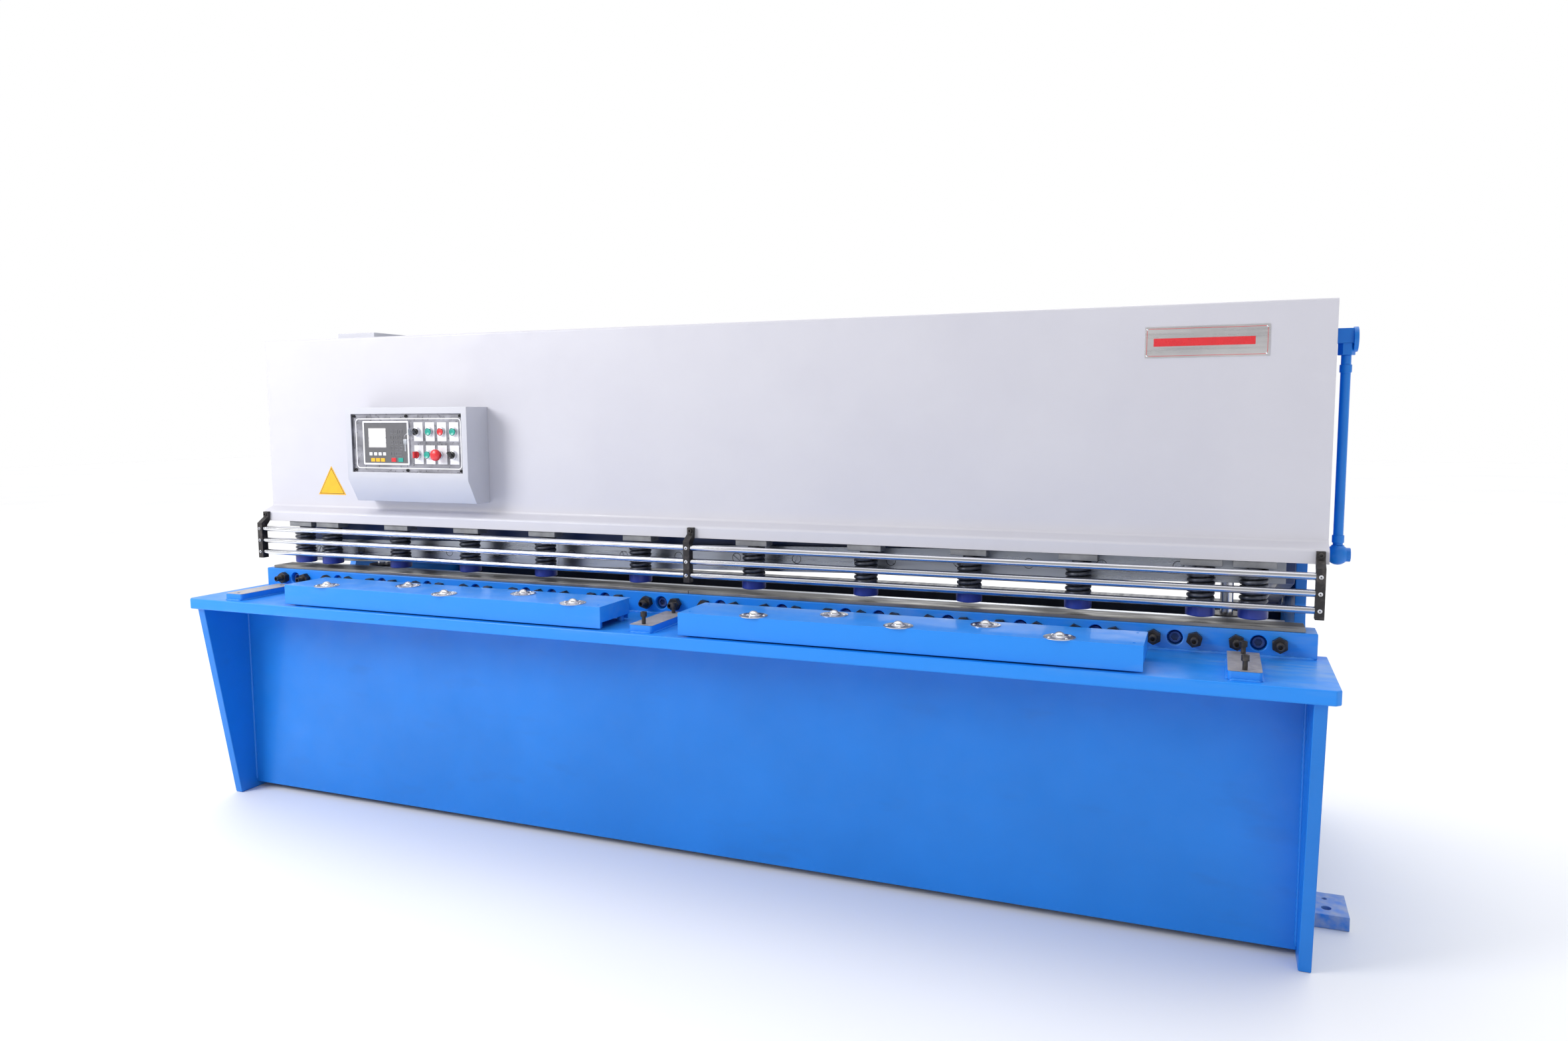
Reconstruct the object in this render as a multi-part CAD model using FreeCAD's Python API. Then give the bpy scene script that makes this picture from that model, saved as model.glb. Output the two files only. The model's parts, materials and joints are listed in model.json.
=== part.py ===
"""Hydraulic swing-beam guillotine shear for sheet up to 6 mm thick and 3.2 m wide.

Units are millimetres.  X runs along the machine, Y from the operator towards
the back and Z up.  The origin is on the floor under the middle of the machine.
The swinging beam is drawn with its blade face upright, which is its place at
mid stroke, and is then turned back about the pivot to its raised rest place.
"""
import FreeCAD
import Part
import math
import os

V = FreeCAD.Vector
X_AXIS = V(1, 0, 0)
Y_AXIS = V(0, 1, 0)
Z_AXIS = V(0, 0, 1)

# Overall
HALF_WIDTH = 838.0           # half the depth, front of the table to end of the chute
TABLE_HALF = 1800.0
FOOT_HALF = 1883.0           # half the length over the anchor feet

# Work table and side housings
TABLE_TOP = 735.0
TABLE_THICK = 36.5
TABLE_UNDER = TABLE_TOP - TABLE_THICK
TABLE_BACK = -461.0
SIDE_OUT = 1773.0
SIDE_THICK = 30.0
SIDE_IN = SIDE_OUT - SIDE_THICK
SIDE_TOP = 1640.0
SIDE_BACK = 600.0
THROAT_BACK = -100.0
THROAT_TOP = 985.0
THROAT_RADIUS = 45.0
ANCHOR_X = 1830.0
ANCHOR_FRONT_Y = -395.0
ANCHOR_REAR_X = 1688.0
ANCHOR_REAR_Y = 425.0
APRON_FRONT = -639.0
APRON_THICK = 20.0
APRON_BOTTOM = 20.0

# Bed and lower blades
CUT_PLANE = -400.0
BED_FRONT = -518.0
BED_TOP = 802.0
BED_HALF = 1772.5
LINER_THICK = 10.0
WORK_LEVEL = BED_TOP + LINER_THICK
LINER_FRONT = -512.0
LINER_HALF = 1744.0
LINER_JOINT = -10.0
BLADE_HALF = 1700.0
BLADE_JOINT = 565.0
LOWER_BLADE_THICK = 25.0
LOWER_BLADE_HIGH = 80.0
BLADE_SEAT = CUT_PLANE - LOWER_BLADE_THICK
BOLT_X = (104.0, 310.0, 514.0, 616.0, 822.0, 1027.0, 1229.0, 1432.0, 1635.0)
BOLT_Z = 769.0
BOLT_RECESS_R = 20.0
BOLT_RECESS_DEEP = 30.0
NUT_COUNT = 34
NUT_PITCH = 102.1
NUT_FLATS = 36.0
NUT_THICK = 19.0
NUT_SCREW_R = 10.0
NUT_SCREW_OUT = 25.0          # set screw beyond its nut

# Swinging beam
PIVOT_Y = 480.0
PIVOT_Z = 800.0
PIVOT_R = 40.0
RUNNING_GAP = 0.05
SWING_RADIUS = 877.8         # pivot to the upright blade face
RAISE_DEG = 3.6              # mid stroke back to rest
RAKE_DEG = 1.5
UPPER_BLADE_THICK = 20.0
UPPER_BLADE_HIGH = 80.0
UPPER_EDGE_Z = 808.5         # cutting edge at x = 0, mid stroke
BEAM_HALF = 1725.0
BEAM_PLATE = 40.0
BEAM_TOP = 1120.0
BEAM_BACK = -80.0

# Hold-downs
HOLD_X = (200.0, 563.0, 873.0, 1176.0, 1491.0, 1620.0)
HOLD_Y = -475.0
HOLD_FOOT_R = 37.0
HOLD_FOOT_Z = 827.0
HOLD_FOOT_HIGH = 30.0
HOLD_ROD_R = 18.0
BLOCK_BOTTOM = 960.0
BLOCK_TOP = 1008.0
SPRING_R = 36.0

# Front panel and finger guard
PANEL_HALF = 1791.5
PANEL_Y = -458.0
PANEL_TOP = 1646.0
SHEET = 2.5
CREASE_Z = 1031.0
SKIRT_Y = -500.0
SKIRT_TOP = 1015.0
SKIRT_BOTTOM = 979.0
GUARD_Y = -530.0
GUARD_Z = (951.0, 908.0, 865.0)
GUARD_ROD_R = 9.5
GUARD_X = (-1773.0, 0.0, 1771.0)

# Main cylinders and gas return cylinders
CYLINDER_X = 1610.0
CYLINDER_Y = -330.0
CYLINDER_ROD_R = 40.0
RETURN_X = 1560.0
RETURN_Y = -150.0
RETURN_ROD_R = 18.0
CONTACT_GAP = 1.5
PISTON_TIP = 1201.65 + CONTACT_GAP
RETURN_TIP = 914.9 - CONTACT_GAP
SIDE_PIPE_X = 1820.0
SIDE_PIPE_Y = -380.0

# Back gauge
GAUGE_X = 1033.0
GAUGE_SCREW_Z = 915.0
GAUGE_SCREW_R = 12.0
GAUGE_SHAFT_R = 9.0
GAUGE_SHAFT_Y = 781.0
GAUGE_BAR_Y = 150.0
RAIL_LOW = 940.0
RAIL_HIGH = 1000.0

# Ball transfer boxes
BALL_R = 16.0
BALL_Z = 803.0
BOX_LOW = 739.0
BOX_TOP = 804.0
BOX_FRONT = -822.0
BOX_BACK = -642.0
BOX_LEFT = (-1365.0, -142.0)
BOX_RIGHT = (113.0, 1371.0)
BOX_POST_IN = 24.0            # post from the end of its box
BOX_POST_Y = (-790.0, -665.0)
BALL_FRONT_Y = -793.0
BALL_BACK_Y = -702.0
BALLS_FRONT_X = (-1209.0, -728.0, -253.0, 336.0, 753.0, 1169.0)
BALLS_BACK_X = (-950.0, -495.0, 542.0, 966.0)

# Table pads
PAD_X = (-1612.0, -14.0, 1597.0)
PAD_HALF = 38.0
PAD_FRONT = -812.0
PAD_BACK = -583.0
PAD_TOP = 757.0
PAD_HOLE_R = 6.0
PAD_BOLTS = ((-790.0, 793.0), (-605.0, 789.0))   # place along Y, top of the bolt's head

# Control box
BOX_X = (-1311.0, -795.0)
BOX_FACE = -571.0
BOX_Z_TOP = 1394.0
BOX_Z_FACE = 1146.0
BOX_Z_LOW = 1067.0
BOX_Y_LOW = -529.0
WINDOW_X = (-1288.0, -817.0)
WINDOW_Z = (1171.0, 1372.0)
PLATE_FACE = BOX_FACE + 8.0
PLATE_THICK = 3.0
ROW_HIGH = 1311.0
ROW_LOW = 1233.0
SWITCH_X = (-1007.0, -953.0, -903.0, -852.0)
KNOB_X = (-1005.0, -961.0, -914.0, -857.0)
SWITCH_GAP = 0.3


def box(x, y, z):
    """Block between the two values of each axis."""
    size = (x[1] - x[0], y[1] - y[0], z[1] - z[0])
    return Part.makeBox(size[0], size[1], size[2], V(x[0], y[0], z[0]))


def rod(radius, start, axis, length):
    return Part.makeCylinder(radius, length, V(*start), axis)


def tube(outer, inner, start, axis, length):
    return rod(outer, start, axis, length).cut(rod(inner, start, axis, length))


def side_prism(points, x0, x1):
    """Extrude an outline of (y, z) points from x0 to x1."""
    wire = Part.makePolygon([V(x0, y, z) for y, z in points + points[:1]])
    return Part.Face(wire).extrude(V(x1 - x0, 0, 0))


def front_prism(points, y0, y1):
    """Extrude an outline of (x, z) points from y0 to y1."""
    wire = Part.makePolygon([V(x, y0, z) for x, z in points + points[:1]])
    return Part.Face(wire).extrude(V(0, y1 - y0, 0))


def hexagon(flats, start, axis, length):
    """Hexagonal bar with the given width across its flats, along X, Y or Z."""
    reach = flats / math.sqrt(3.0)
    along_x = axis.x != 0
    along_y = axis.y != 0
    points = []
    for step in range(7):
        angle = math.radians(60 * step)
        a = reach * math.cos(angle)
        b = reach * math.sin(angle)
        if along_x:
            points.append(V(*start) + V(0, a, b))
        elif along_y:
            points.append(V(*start) + V(a, 0, b))
        else:
            points.append(V(*start) + V(a, b, 0))
    return Part.Face(Part.makePolygon(points)).extrude(axis * length)


def fuse(shapes):
    return shapes[0].multiFuse(shapes[1:]).removeSplitter()


def cut(shape, tools):
    return shape.cut(Part.makeCompound(tools))


def mirrored(shape):
    return shape.mirror(V(0, 0, 0), X_AXIS)


def both_sides(shape):
    return [shape, mirrored(shape)]


def raised(shape):
    """Turn a piece of the swinging beam from mid stroke back to rest."""
    turned = shape.copy()
    turned.rotate(V(0, PIVOT_Y, PIVOT_Z), X_AXIS, -RAISE_DEG)
    return turned


def both_signs(values):
    """Mirror a list of places about x = 0, in rising order."""
    return [-value for value in reversed(values)] + list(values)


def write(name, solids):
    shape = solids[0] if len(solids) == 1 else Part.makeCompound(solids)
    shape.exportStep(os.path.join("parts", name + ".step"))


# ---------------------------------------------------------------- frame

def side_housing():
    """Right housing: a thick C-shaped plate that carries everything."""
    outline = [
        (-708, 0), (-823, TABLE_UNDER), (TABLE_BACK, TABLE_UNDER), (TABLE_BACK, TABLE_TOP),
        (THROAT_BACK, TABLE_TOP), (THROAT_BACK, THROAT_TOP), (PANEL_Y + SHEET, THROAT_TOP),
        (PANEL_Y + SHEET, SIDE_TOP), (380, SIDE_TOP), (SIDE_BACK, 1420), (SIDE_BACK, 0),
        (360, 0), (330, 35), (-170, 35), (-200, 0),
    ]
    plate = side_prism(outline, SIDE_IN, SIDE_OUT)
    throat = [edge for edge in plate.Edges
              if edge.BoundBox.XLength > 1 and edge.BoundBox.YLength < 0.1
              and edge.BoundBox.ZLength < 0.1 and abs(edge.BoundBox.YMin - THROAT_BACK) < 0.1
              and edge.BoundBox.ZMin > TABLE_TOP - 1]
    plate = plate.makeFillet(THROAT_RADIUS, throat)
    seat = rod(55, (SIDE_IN - 1, PIVOT_Y, PIVOT_Z), X_AXIS, SIDE_THICK + 2)
    return plate.cut(seat)


def work_table():
    """Thick table plate with clipped front corners."""
    clip = 12
    slab = box((-TABLE_HALF, TABLE_HALF), (-HALF_WIDTH, TABLE_BACK), (TABLE_UNDER, TABLE_TOP))
    corners = [edge for edge in slab.Edges
               if edge.BoundBox.ZLength > 1 and edge.BoundBox.YMin < -HALF_WIDTH + 1]
    return slab.makeChamfer(clip, corners)


def front_apron():
    return box((-SIDE_IN, SIDE_IN), (APRON_FRONT, APRON_FRONT + APRON_THICK),
               (APRON_BOTTOM, TABLE_UNDER))


def nut_places():
    first = -NUT_PITCH * (NUT_COUNT - 1) / 2
    return [first + NUT_PITCH * step for step in range(NUT_COUNT)]


def bed_beam():
    """Blade bed: a bar over the table with a deep web behind the table's edge."""
    bar = box((-BED_HALF, BED_HALF), (BED_FRONT, BLADE_SEAT), (TABLE_TOP, BED_TOP))
    web = box((-SIDE_IN, SIDE_IN), (TABLE_BACK, BLADE_SEAT), (60, TABLE_TOP))
    ledge = box((-BLADE_HALF, BLADE_HALF), (BLADE_SEAT, CUT_PLANE - 3),
                (700, WORK_LEVEL - LOWER_BLADE_HIGH))
    toe = box((-SIDE_IN, SIDE_IN), (-520, BLADE_SEAT), (40, 60))
    beam = fuse([bar, web, ledge, toe])
    depth = BLADE_SEAT - BED_FRONT
    holes = []
    for x in both_signs(BOLT_X):
        holes.append(rod(BOLT_RECESS_R, (x, BED_FRONT, BOLT_Z), Y_AXIS, BOLT_RECESS_DEEP))
        holes.append(rod(10.5, (x, BED_FRONT, BOLT_Z), Y_AXIS, depth))
    for x in nut_places():
        holes.append(rod(NUT_SCREW_R, (x, BED_FRONT, BOLT_Z), Y_AXIS, 48))
    return cut(beam, holes)


def bed_liner():
    """Two worn strips, butted near the middle, that the sheet slides over."""
    gap = 0.5
    strips = []
    for x0, x1 in ((-LINER_HALF, LINER_JOINT - gap), (LINER_JOINT + gap, LINER_HALF)):
        strips.append(box((x0, x1), (LINER_FRONT, BLADE_SEAT), (BED_TOP, WORK_LEVEL)))
    return strips


def blade_spans():
    gap = 0.4
    return [(-BLADE_HALF, -BLADE_JOINT - gap), (-BLADE_JOINT, BLADE_JOINT),
            (BLADE_JOINT + gap, BLADE_HALF)]


def lower_blades():
    low = WORK_LEVEL - LOWER_BLADE_HIGH
    holes = [rod(10, (x, BLADE_SEAT, BOLT_Z), Y_AXIS, 16) for x in both_signs(BOLT_X)]
    return [cut(box(span, (BLADE_SEAT, CUT_PLANE), (low, WORK_LEVEL)), holes)
            for span in blade_spans()]


def lower_blade_bolts():
    """Socket-head bolts, sunk in the bed, that hold the lower blades."""
    bolts = []
    face = BED_FRONT + BOLT_RECESS_DEEP
    for x in both_signs(BOLT_X):
        head = rod(15, (x, face - 20, BOLT_Z), Y_AXIS, 20)
        shank = rod(9.9, (x, face, BOLT_Z), Y_AXIS, BLADE_SEAT + 15 - face)
        socket = hexagon(17, (x, face - 20, BOLT_Z), Y_AXIS, 10)
        bolts.append(head.fuse(shank).cut(socket))
    return bolts


def adjusting_screws():
    """Hex nuts on socket set screws, which set the bed against the blade."""
    pieces = []
    end = BED_FRONT - NUT_THICK - NUT_SCREW_OUT
    for x in nut_places():
        screw = rod(NUT_SCREW_R - 0.1, (x, end, BOLT_Z), Y_AXIS, BED_FRONT + 45 - end)
        socket = hexagon(10, (x, end, BOLT_Z), Y_AXIS, 10)
        nut = hexagon(NUT_FLATS, (x, BED_FRONT - NUT_THICK, BOLT_Z), Y_AXIS, NUT_THICK)
        bore = rod(NUT_SCREW_R, (x, BED_FRONT - NUT_THICK, BOLT_Z), Y_AXIS, NUT_THICK)
        pieces.append(screw.cut(socket))
        pieces.append(nut.cut(bore))
    return pieces


def cross_members():
    """Ties between the housings and the brackets that carry the main cylinders."""
    top_tie = box((-SIDE_IN, SIDE_IN), (PANEL_Y + SHEET, -420), (1440, SIDE_TOP))
    outer = box((-SIDE_IN, SIDE_IN), (540, SIDE_BACK), (560, 700))
    inner = box((-SIDE_IN, SIDE_IN), (546, SIDE_BACK - 6), (566, 694))
    rear_tie = outer.cut(inner)
    shelf = box((1500, SIDE_IN), (-420, -240), (1260, 1290))
    gusset = side_prism([(-410, 1260), (-250, 1260), (-250, 1130), (-290, 1100), (-410, 1225)],
                        SIDE_IN - 12, SIDE_IN)
    bracket = fuse([shelf, gusset])
    bracket = bracket.cut(rod(CYLINDER_ROD_R + 8, (CYLINDER_X, CYLINDER_Y, 1250), Z_AXIS, 50))
    return [top_tie, rear_tie] + both_sides(bracket)


def anchor_feet():
    """Floor lugs, outside at the front and inside at the back, each with two holes."""
    feet = []
    for low, high, hole_x, front in ((SIDE_OUT, FOOT_HALF, ANCHOR_X, ANCHOR_FRONT_Y),
                                     (SIDE_IN - 110, SIDE_IN, ANCHOR_REAR_X, ANCHOR_REAR_Y)):
        slab = box((low, high), (front - 45, front + 100), (0, 38))
        anchor = rod(12, (hole_x, front, 0), Z_AXIS, 38)
        level = rod(6, (hole_x, front + 60, 0), Z_AXIS, 38)
        feet += both_sides(cut(slab, [anchor, level]))
    return feet


def rear_chute():
    """Sloping plate with side cheeks that carries the cut sheet out to the back."""
    top = (-372.0, 690.0)
    low = (HALF_WIDTH, 330.0)
    half = 1480
    plate = side_prism([top, low, (low[0], low[1] - 6), (top[0], top[1] - 6)], -half, half)
    cheek = side_prism([(top[0], top[1] - 6), (low[0], low[1] - 6), (low[0], low[1] + 40),
                        (200, 560), (top[0], top[1])], half - 6, half)
    prop = box((half, SIDE_IN), (460, 520), (380, 440))
    front_prop = box((half, SIDE_IN), (-380, -340), (640, 670))
    return [fuse([plate, cheek, mirrored(cheek)] + both_sides(prop) + both_sides(front_prop))]


# ---------------------------------------------------------------- hold-downs

def hold_down_beam():
    return box((-1740, 1740), (-447, -412), (975, 1200))


def hold_down_blocks():
    """Grey cylinder blocks that guide the plungers."""
    blocks = []
    for x in both_signs(HOLD_X):
        body = box((x - 52, x + 52), (-497, -447), (BLOCK_BOTTOM, BLOCK_TOP))
        bore = rod(HOLD_ROD_R, (x, HOLD_Y, BLOCK_BOTTOM), Z_AXIS, BLOCK_TOP - BLOCK_BOTTOM)
        blocks.append(body.cut(bore))
    return blocks


def hold_down_feet():
    """Plungers with wide round feet that clamp the sheet before the cut."""
    feet = []
    for x in both_signs(HOLD_X):
        foot = rod(HOLD_FOOT_R, (x, HOLD_Y, HOLD_FOOT_Z), Z_AXIS, HOLD_FOOT_HIGH)
        rims = [edge for edge in foot.Edges if edge.BoundBox.ZLength < 0.1]
        foot = foot.makeChamfer(2, rims)
        stem = rod(HOLD_ROD_R - RUNNING_GAP, (x, HOLD_Y, HOLD_FOOT_Z + HOLD_FOOT_HIGH),
                   Z_AXIS, BLOCK_TOP - 1 - HOLD_FOOT_Z - HOLD_FOOT_HIGH)
        feet.append(foot.fuse(stem))
    return feet


def hold_down_springs():
    """Return springs, each as the sleeve that its coil fills."""
    low = HOLD_FOOT_Z + HOLD_FOOT_HIGH
    return [tube(SPRING_R, SPRING_R - 9, (x, HOLD_Y, low), Z_AXIS, BLOCK_BOTTOM - low)
            for x in both_signs(HOLD_X)]


# ---------------------------------------------------------------- front panel and guard

def front_panel():
    """Folded cover sheet: flat face, flared foot, upright skirt, returns on top and sides."""
    back = PANEL_Y + SHEET
    outline = [
        (PANEL_Y, PANEL_TOP), (PANEL_Y, CREASE_Z), (SKIRT_Y, SKIRT_TOP), (SKIRT_Y, SKIRT_BOTTOM),
        (SKIRT_Y + SHEET, SKIRT_BOTTOM), (SKIRT_Y + SHEET, SKIRT_TOP - SHEET),
        (back, CREASE_Z - SHEET), (back, PANEL_TOP - SHEET), (back + 40, PANEL_TOP - SHEET),
        (back + 40, PANEL_TOP),
    ]
    face = side_prism(outline, -PANEL_HALF, PANEL_HALF)
    side = box((SIDE_OUT + 1, PANEL_HALF), (back, back + SHEET), (1040, PANEL_TOP - SHEET))
    lip = box((PANEL_HALF - SHEET, PANEL_HALF), (back, back + 14), (1040, PANEL_TOP - SHEET))
    return [fuse([face] + both_sides(side) + both_sides(lip))]


def guard_brackets():
    """Black brackets: a tab screwed to the skirt, a slope forward and a bar for the rods."""
    half = 11.0
    tab_front = SKIRT_Y - 14.0
    bar_front = GUARD_Y - 13.0
    bar_back = GUARD_Y + 13.0
    outline = [
        (SKIRT_Y, 1012), (tab_front, 1012), (tab_front, 992), (bar_front, 972),
        (bar_front, 842), (bar_back, 842), (bar_back, 962), (SKIRT_Y, 982),
    ]
    brackets = []
    for x in GUARD_X:
        bracket = side_prism(outline, x - half, x + half)
        bracket = bracket.cut(rod(4, (x, tab_front, 1002), Y_AXIS, SKIRT_Y - tab_front))
        if x < 0:
            seat = (x - 8, x + half)
        elif x > 100:
            seat = (x - half, x + 8)
        else:
            seat = (x - half, x + half)
        seats = [rod(GUARD_ROD_R, (seat[0], GUARD_Y, z), X_AXIS, seat[1] - seat[0])
                 for z in GUARD_Z]
        brackets.append(cut(bracket, seats))
    return brackets


def guard_rods():
    left, middle, right = GUARD_X
    rods = []
    for z in GUARD_Z:
        rods.append(rod(GUARD_ROD_R, (left - 8, GUARD_Y, z), X_AXIS, middle - 2 - left + 8))
        rods.append(rod(GUARD_ROD_R, (middle + 2, GUARD_Y, z), X_AXIS, right + 8 - middle - 2))
    return rods


# ---------------------------------------------------------------- table fittings

def ball_boxes():
    """Low folded boxes that hold the ball transfers, screwed to short posts."""
    wall = 3.0
    end_lift = 17.0
    relief = 10.0
    boxes = []
    for x0, x1 in (BOX_LEFT, BOX_RIGHT):
        outer = box((x0, x1), (BOX_FRONT, BOX_BACK), (BOX_LOW, BOX_TOP))
        inner = box((x0 + wall, x1 - wall), (BOX_FRONT + wall, BOX_BACK - wall),
                    (BOX_LOW, BOX_TOP - wall))
        posts = []
        holes = []
        for x in (x0 + BOX_POST_IN, x1 - BOX_POST_IN):
            for y in BOX_POST_Y:
                posts.append(rod(10, (x, y, TABLE_TOP), Z_AXIS, BOX_TOP - wall - TABLE_TOP))
                holes.append(rod(3.5, (x, y, BOX_TOP - 12), Z_AXIS, 12))
        for low, high in ((x0, x0 + relief), (x1 - relief, x1)):
            holes.append(box((low, high), (BOX_FRONT + wall, BOX_BACK), (BOX_LOW, BOX_LOW + end_lift)))
            holes.append(box((low, high), (BOX_BACK - relief, BOX_BACK), (BOX_LOW, BOX_TOP - wall)))
        holes += [rod(24, (x, y, BOX_TOP - wall), Z_AXIS, wall)
                  for x, y in ball_places() if x0 < x < x1]
        boxes.append(cut(fuse([outer.cut(inner)] + posts), holes))
    return boxes


def ball_places():
    return [(x, BALL_FRONT_Y) for x in BALLS_FRONT_X] + [(x, BALL_BACK_Y) for x in BALLS_BACK_X]


def ball_sockets():
    """Flanged cups, each with a round seat just larger than its ball."""
    sockets = []
    for x, y in ball_places():
        flange = rod(40, (x, y, BOX_TOP), Z_AXIS, 2.5)
        cup = rod(24, (x, y, BALL_Z - BALL_R - 6), Z_AXIS, BOX_TOP - BALL_Z + BALL_R + 6)
        seat = Part.makeSphere(BALL_R + 0.3, V(x, y, BALL_Z))
        screws = [rod(2.2, (x + 30 * math.cos(a), y + 30 * math.sin(a), BOX_TOP), Z_AXIS, 2.5)
                  for a in (math.radians(45 + 90 * step) for step in range(4))]
        sockets.append(cut(flange.fuse(cup), [seat] + screws))
    return sockets


def transfer_balls(xs, y):
    return [Part.makeSphere(BALL_R, V(x, y, BALL_Z)) for x in xs]


def table_pads():
    """Welded pads with machined tops and two tapped holes each, for arms and supports."""
    pads = []
    for x in PAD_X:
        body = box((x - PAD_HALF, x + PAD_HALF), (PAD_FRONT, PAD_BACK), (TABLE_TOP, PAD_TOP))
        corners = [edge for edge in body.Edges
                   if edge.BoundBox.ZLength > 1 and edge.BoundBox.YMin < PAD_FRONT + 1]
        body = body.makeFillet(9, corners)
        holes = [rod(PAD_HOLE_R, (x, y, TABLE_TOP), Z_AXIS, PAD_TOP - TABLE_TOP)
                 for y, _ in PAD_BOLTS]
        pads.append(cut(body, holes))
    return pads


def pad_bolts():
    """Socket-head bolts parked in the middle and right pads."""
    bolts = []
    for x in PAD_X[1:]:
        for y, top in PAD_BOLTS:
            shank = rod(PAD_HOLE_R - RUNNING_GAP, (x, y, TABLE_TOP + 2), Z_AXIS,
                        top - 14 - TABLE_TOP - 2)
            cap = rod(9.5, (x, y, top - 14), Z_AXIS, 14)
            socket = hexagon(10, (x, y, top - 8), Z_AXIS, 8)
            bolts.append(shank.fuse(cap).cut(socket))
    return bolts


# ---------------------------------------------------------------- control box and plates

def control_box():
    """Folded console shell, open behind, with a window in its face."""
    wall = 3.0
    back = PANEL_Y
    outer = side_prism([(back, BOX_Z_TOP), (BOX_FACE, BOX_Z_TOP), (BOX_FACE, BOX_Z_FACE),
                        (BOX_Y_LOW, BOX_Z_LOW), (back, BOX_Z_LOW)], BOX_X[0], BOX_X[1])
    inner = side_prism([(back, BOX_Z_TOP - wall), (BOX_FACE + wall, BOX_Z_TOP - wall),
                        (BOX_FACE + wall, BOX_Z_FACE + 1), (BOX_Y_LOW + wall, BOX_Z_LOW + wall),
                        (back, BOX_Z_LOW + wall)], BOX_X[0] + wall, BOX_X[1] - wall)
    window = box(WINDOW_X, (BOX_FACE, BOX_FACE + wall), WINDOW_Z)
    return outer.cut(inner).cut(window)


def switch_seats():
    """Centre, bore and kind of each device on the operator plate."""
    return [(x, ROW_HIGH) for x in SWITCH_X] + [(x, ROW_LOW) for x in KNOB_X]


def operator_plate():
    """Plate behind the window, with seats for the switches and the controller."""
    edge = 6
    plate = box((WINDOW_X[0] - edge, WINDOW_X[1] + edge), (PLATE_FACE, PLATE_FACE + PLATE_THICK),
                (WINDOW_Z[0] - edge, WINDOW_Z[1] + edge))
    rim = box((WINDOW_X[0] - edge, WINDOW_X[1] + edge), (BOX_FACE + 3, PLATE_FACE),
              (WINDOW_Z[0] - edge, WINDOW_Z[1] + edge))
    rim = rim.cut(box(WINDOW_X, (BOX_FACE, PLATE_FACE), WINDOW_Z))
    holes = [rod(11, (x, PLATE_FACE, z), Y_AXIS, PLATE_THICK) for x, z in switch_seats()]
    screen = box((-1236, -1045), (PLATE_FACE, PLATE_FACE + PLATE_THICK), (1201, 1344))
    return cut(fuse([plate, rim]), holes + [screen])


def controller():
    """Gauge controller with a bezel, a display recess and key pads."""
    body = box((-1235, -1046), (PLATE_FACE, -500), (1202, 1343))
    bezel = box((-1240, -1041), (PLATE_FACE - 4, PLATE_FACE), (1197, 1348))
    recess = box((-1214, -1140), (PLATE_FACE - 4, PLATE_FACE - 1), (1258, 1322))
    keys = []
    for row in range(4):
        for column in range(3):
            x = -1120 + 22 * column
            z = 1310 - 20 * row
            keys.append(box((x, x + 14), (PLATE_FACE - 5.2, PLATE_FACE - 4), (z - 10, z)))
    for step in range(4):
        x = -1214 + 20 * step
        keys.append(box((x, x + 14), (PLATE_FACE - 5.2, PLATE_FACE - 4), (1228, 1240)))
        keys.append(box((x, x + 14), (PLATE_FACE - 5.2, PLATE_FACE - 4), (1207, 1219)))
    for x in (-1118, -1084):
        keys.append(box((x, x + 18), (PLATE_FACE - 5.2, PLATE_FACE - 4), (1208, 1218)))
    return fuse([body, bezel] + keys).cut(recess)


def switch_bezels():
    """Round collars with backing plates, one for each switch and knob."""
    collars = []
    for index, (x, z) in enumerate(switch_seats()):
        plate = box((x - 20, x + 20), (PLATE_FACE - 1.5, PLATE_FACE), (z - 30, z + 30))
        collar = tube(15, 12, (x, PLATE_FACE - 7, z), Y_AXIS, 5.5)
        barrel = rod(11, (x, PLATE_FACE, z), Y_AXIS, 24)
        bore = rod(9 + SWITCH_GAP, (x, PLATE_FACE - 7, z), Y_AXIS, 32)
        collars.append(fuse([plate, collar, barrel]).cut(bore))
    return collars


def push_button(x, z):
    """Plain cap on a stem; the cap travels in its collar."""
    cap = rod(11.7, (x, PLATE_FACE - 13, z), Y_AXIS, 7)
    rims = [edge for edge in cap.Edges
            if edge.BoundBox.YMax < PLATE_FACE - 12 and edge.BoundBox.XLength > 1]
    stem = rod(9, (x, PLATE_FACE - 7, z), Y_AXIS, 24)
    return cap.makeChamfer(1.5, rims).fuse(stem)


def turning_knob(x, z, length):
    """Round stem with a narrow finger grip across its face."""
    stem = rod(9, (x, PLATE_FACE - 12, z), Y_AXIS, 26)
    disc = rod(12, (x, PLATE_FACE - 12, z), Y_AXIS, 4.5)
    grip = box((x - 4, x + 4), (PLATE_FACE - 26, PLATE_FACE - 12), (z - length / 2, z + length / 2))
    return fuse([stem, disc, grip])


def key_switch(x, z):
    """Lock core with its key and a spare on a ring."""
    stem = rod(9, (x, PLATE_FACE - 12, z), Y_AXIS, 26)
    blade = box((x - 1.2, x + 1.2), (PLATE_FACE - 24, PLATE_FACE - 12), (z - 4, z + 4))
    bow = box((x - 1.5, x + 1.5), (PLATE_FACE - 46, PLATE_FACE - 24), (z - 11, z + 11))
    return fuse([stem, blade, bow])


def mushroom_button(x, z):
    """Mushroom head on a stem."""
    stem = rod(9, (x, PLATE_FACE - 20, z), Y_AXIS, 36)
    head = rod(20, (x, PLATE_FACE - 34, z), Y_AXIS, 14)
    rims = [edge for edge in head.Edges
            if edge.BoundBox.YMax < PLATE_FACE - 33 and edge.BoundBox.XLength > 1]
    return head.makeFillet(5, rims).fuse(stem)


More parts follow.
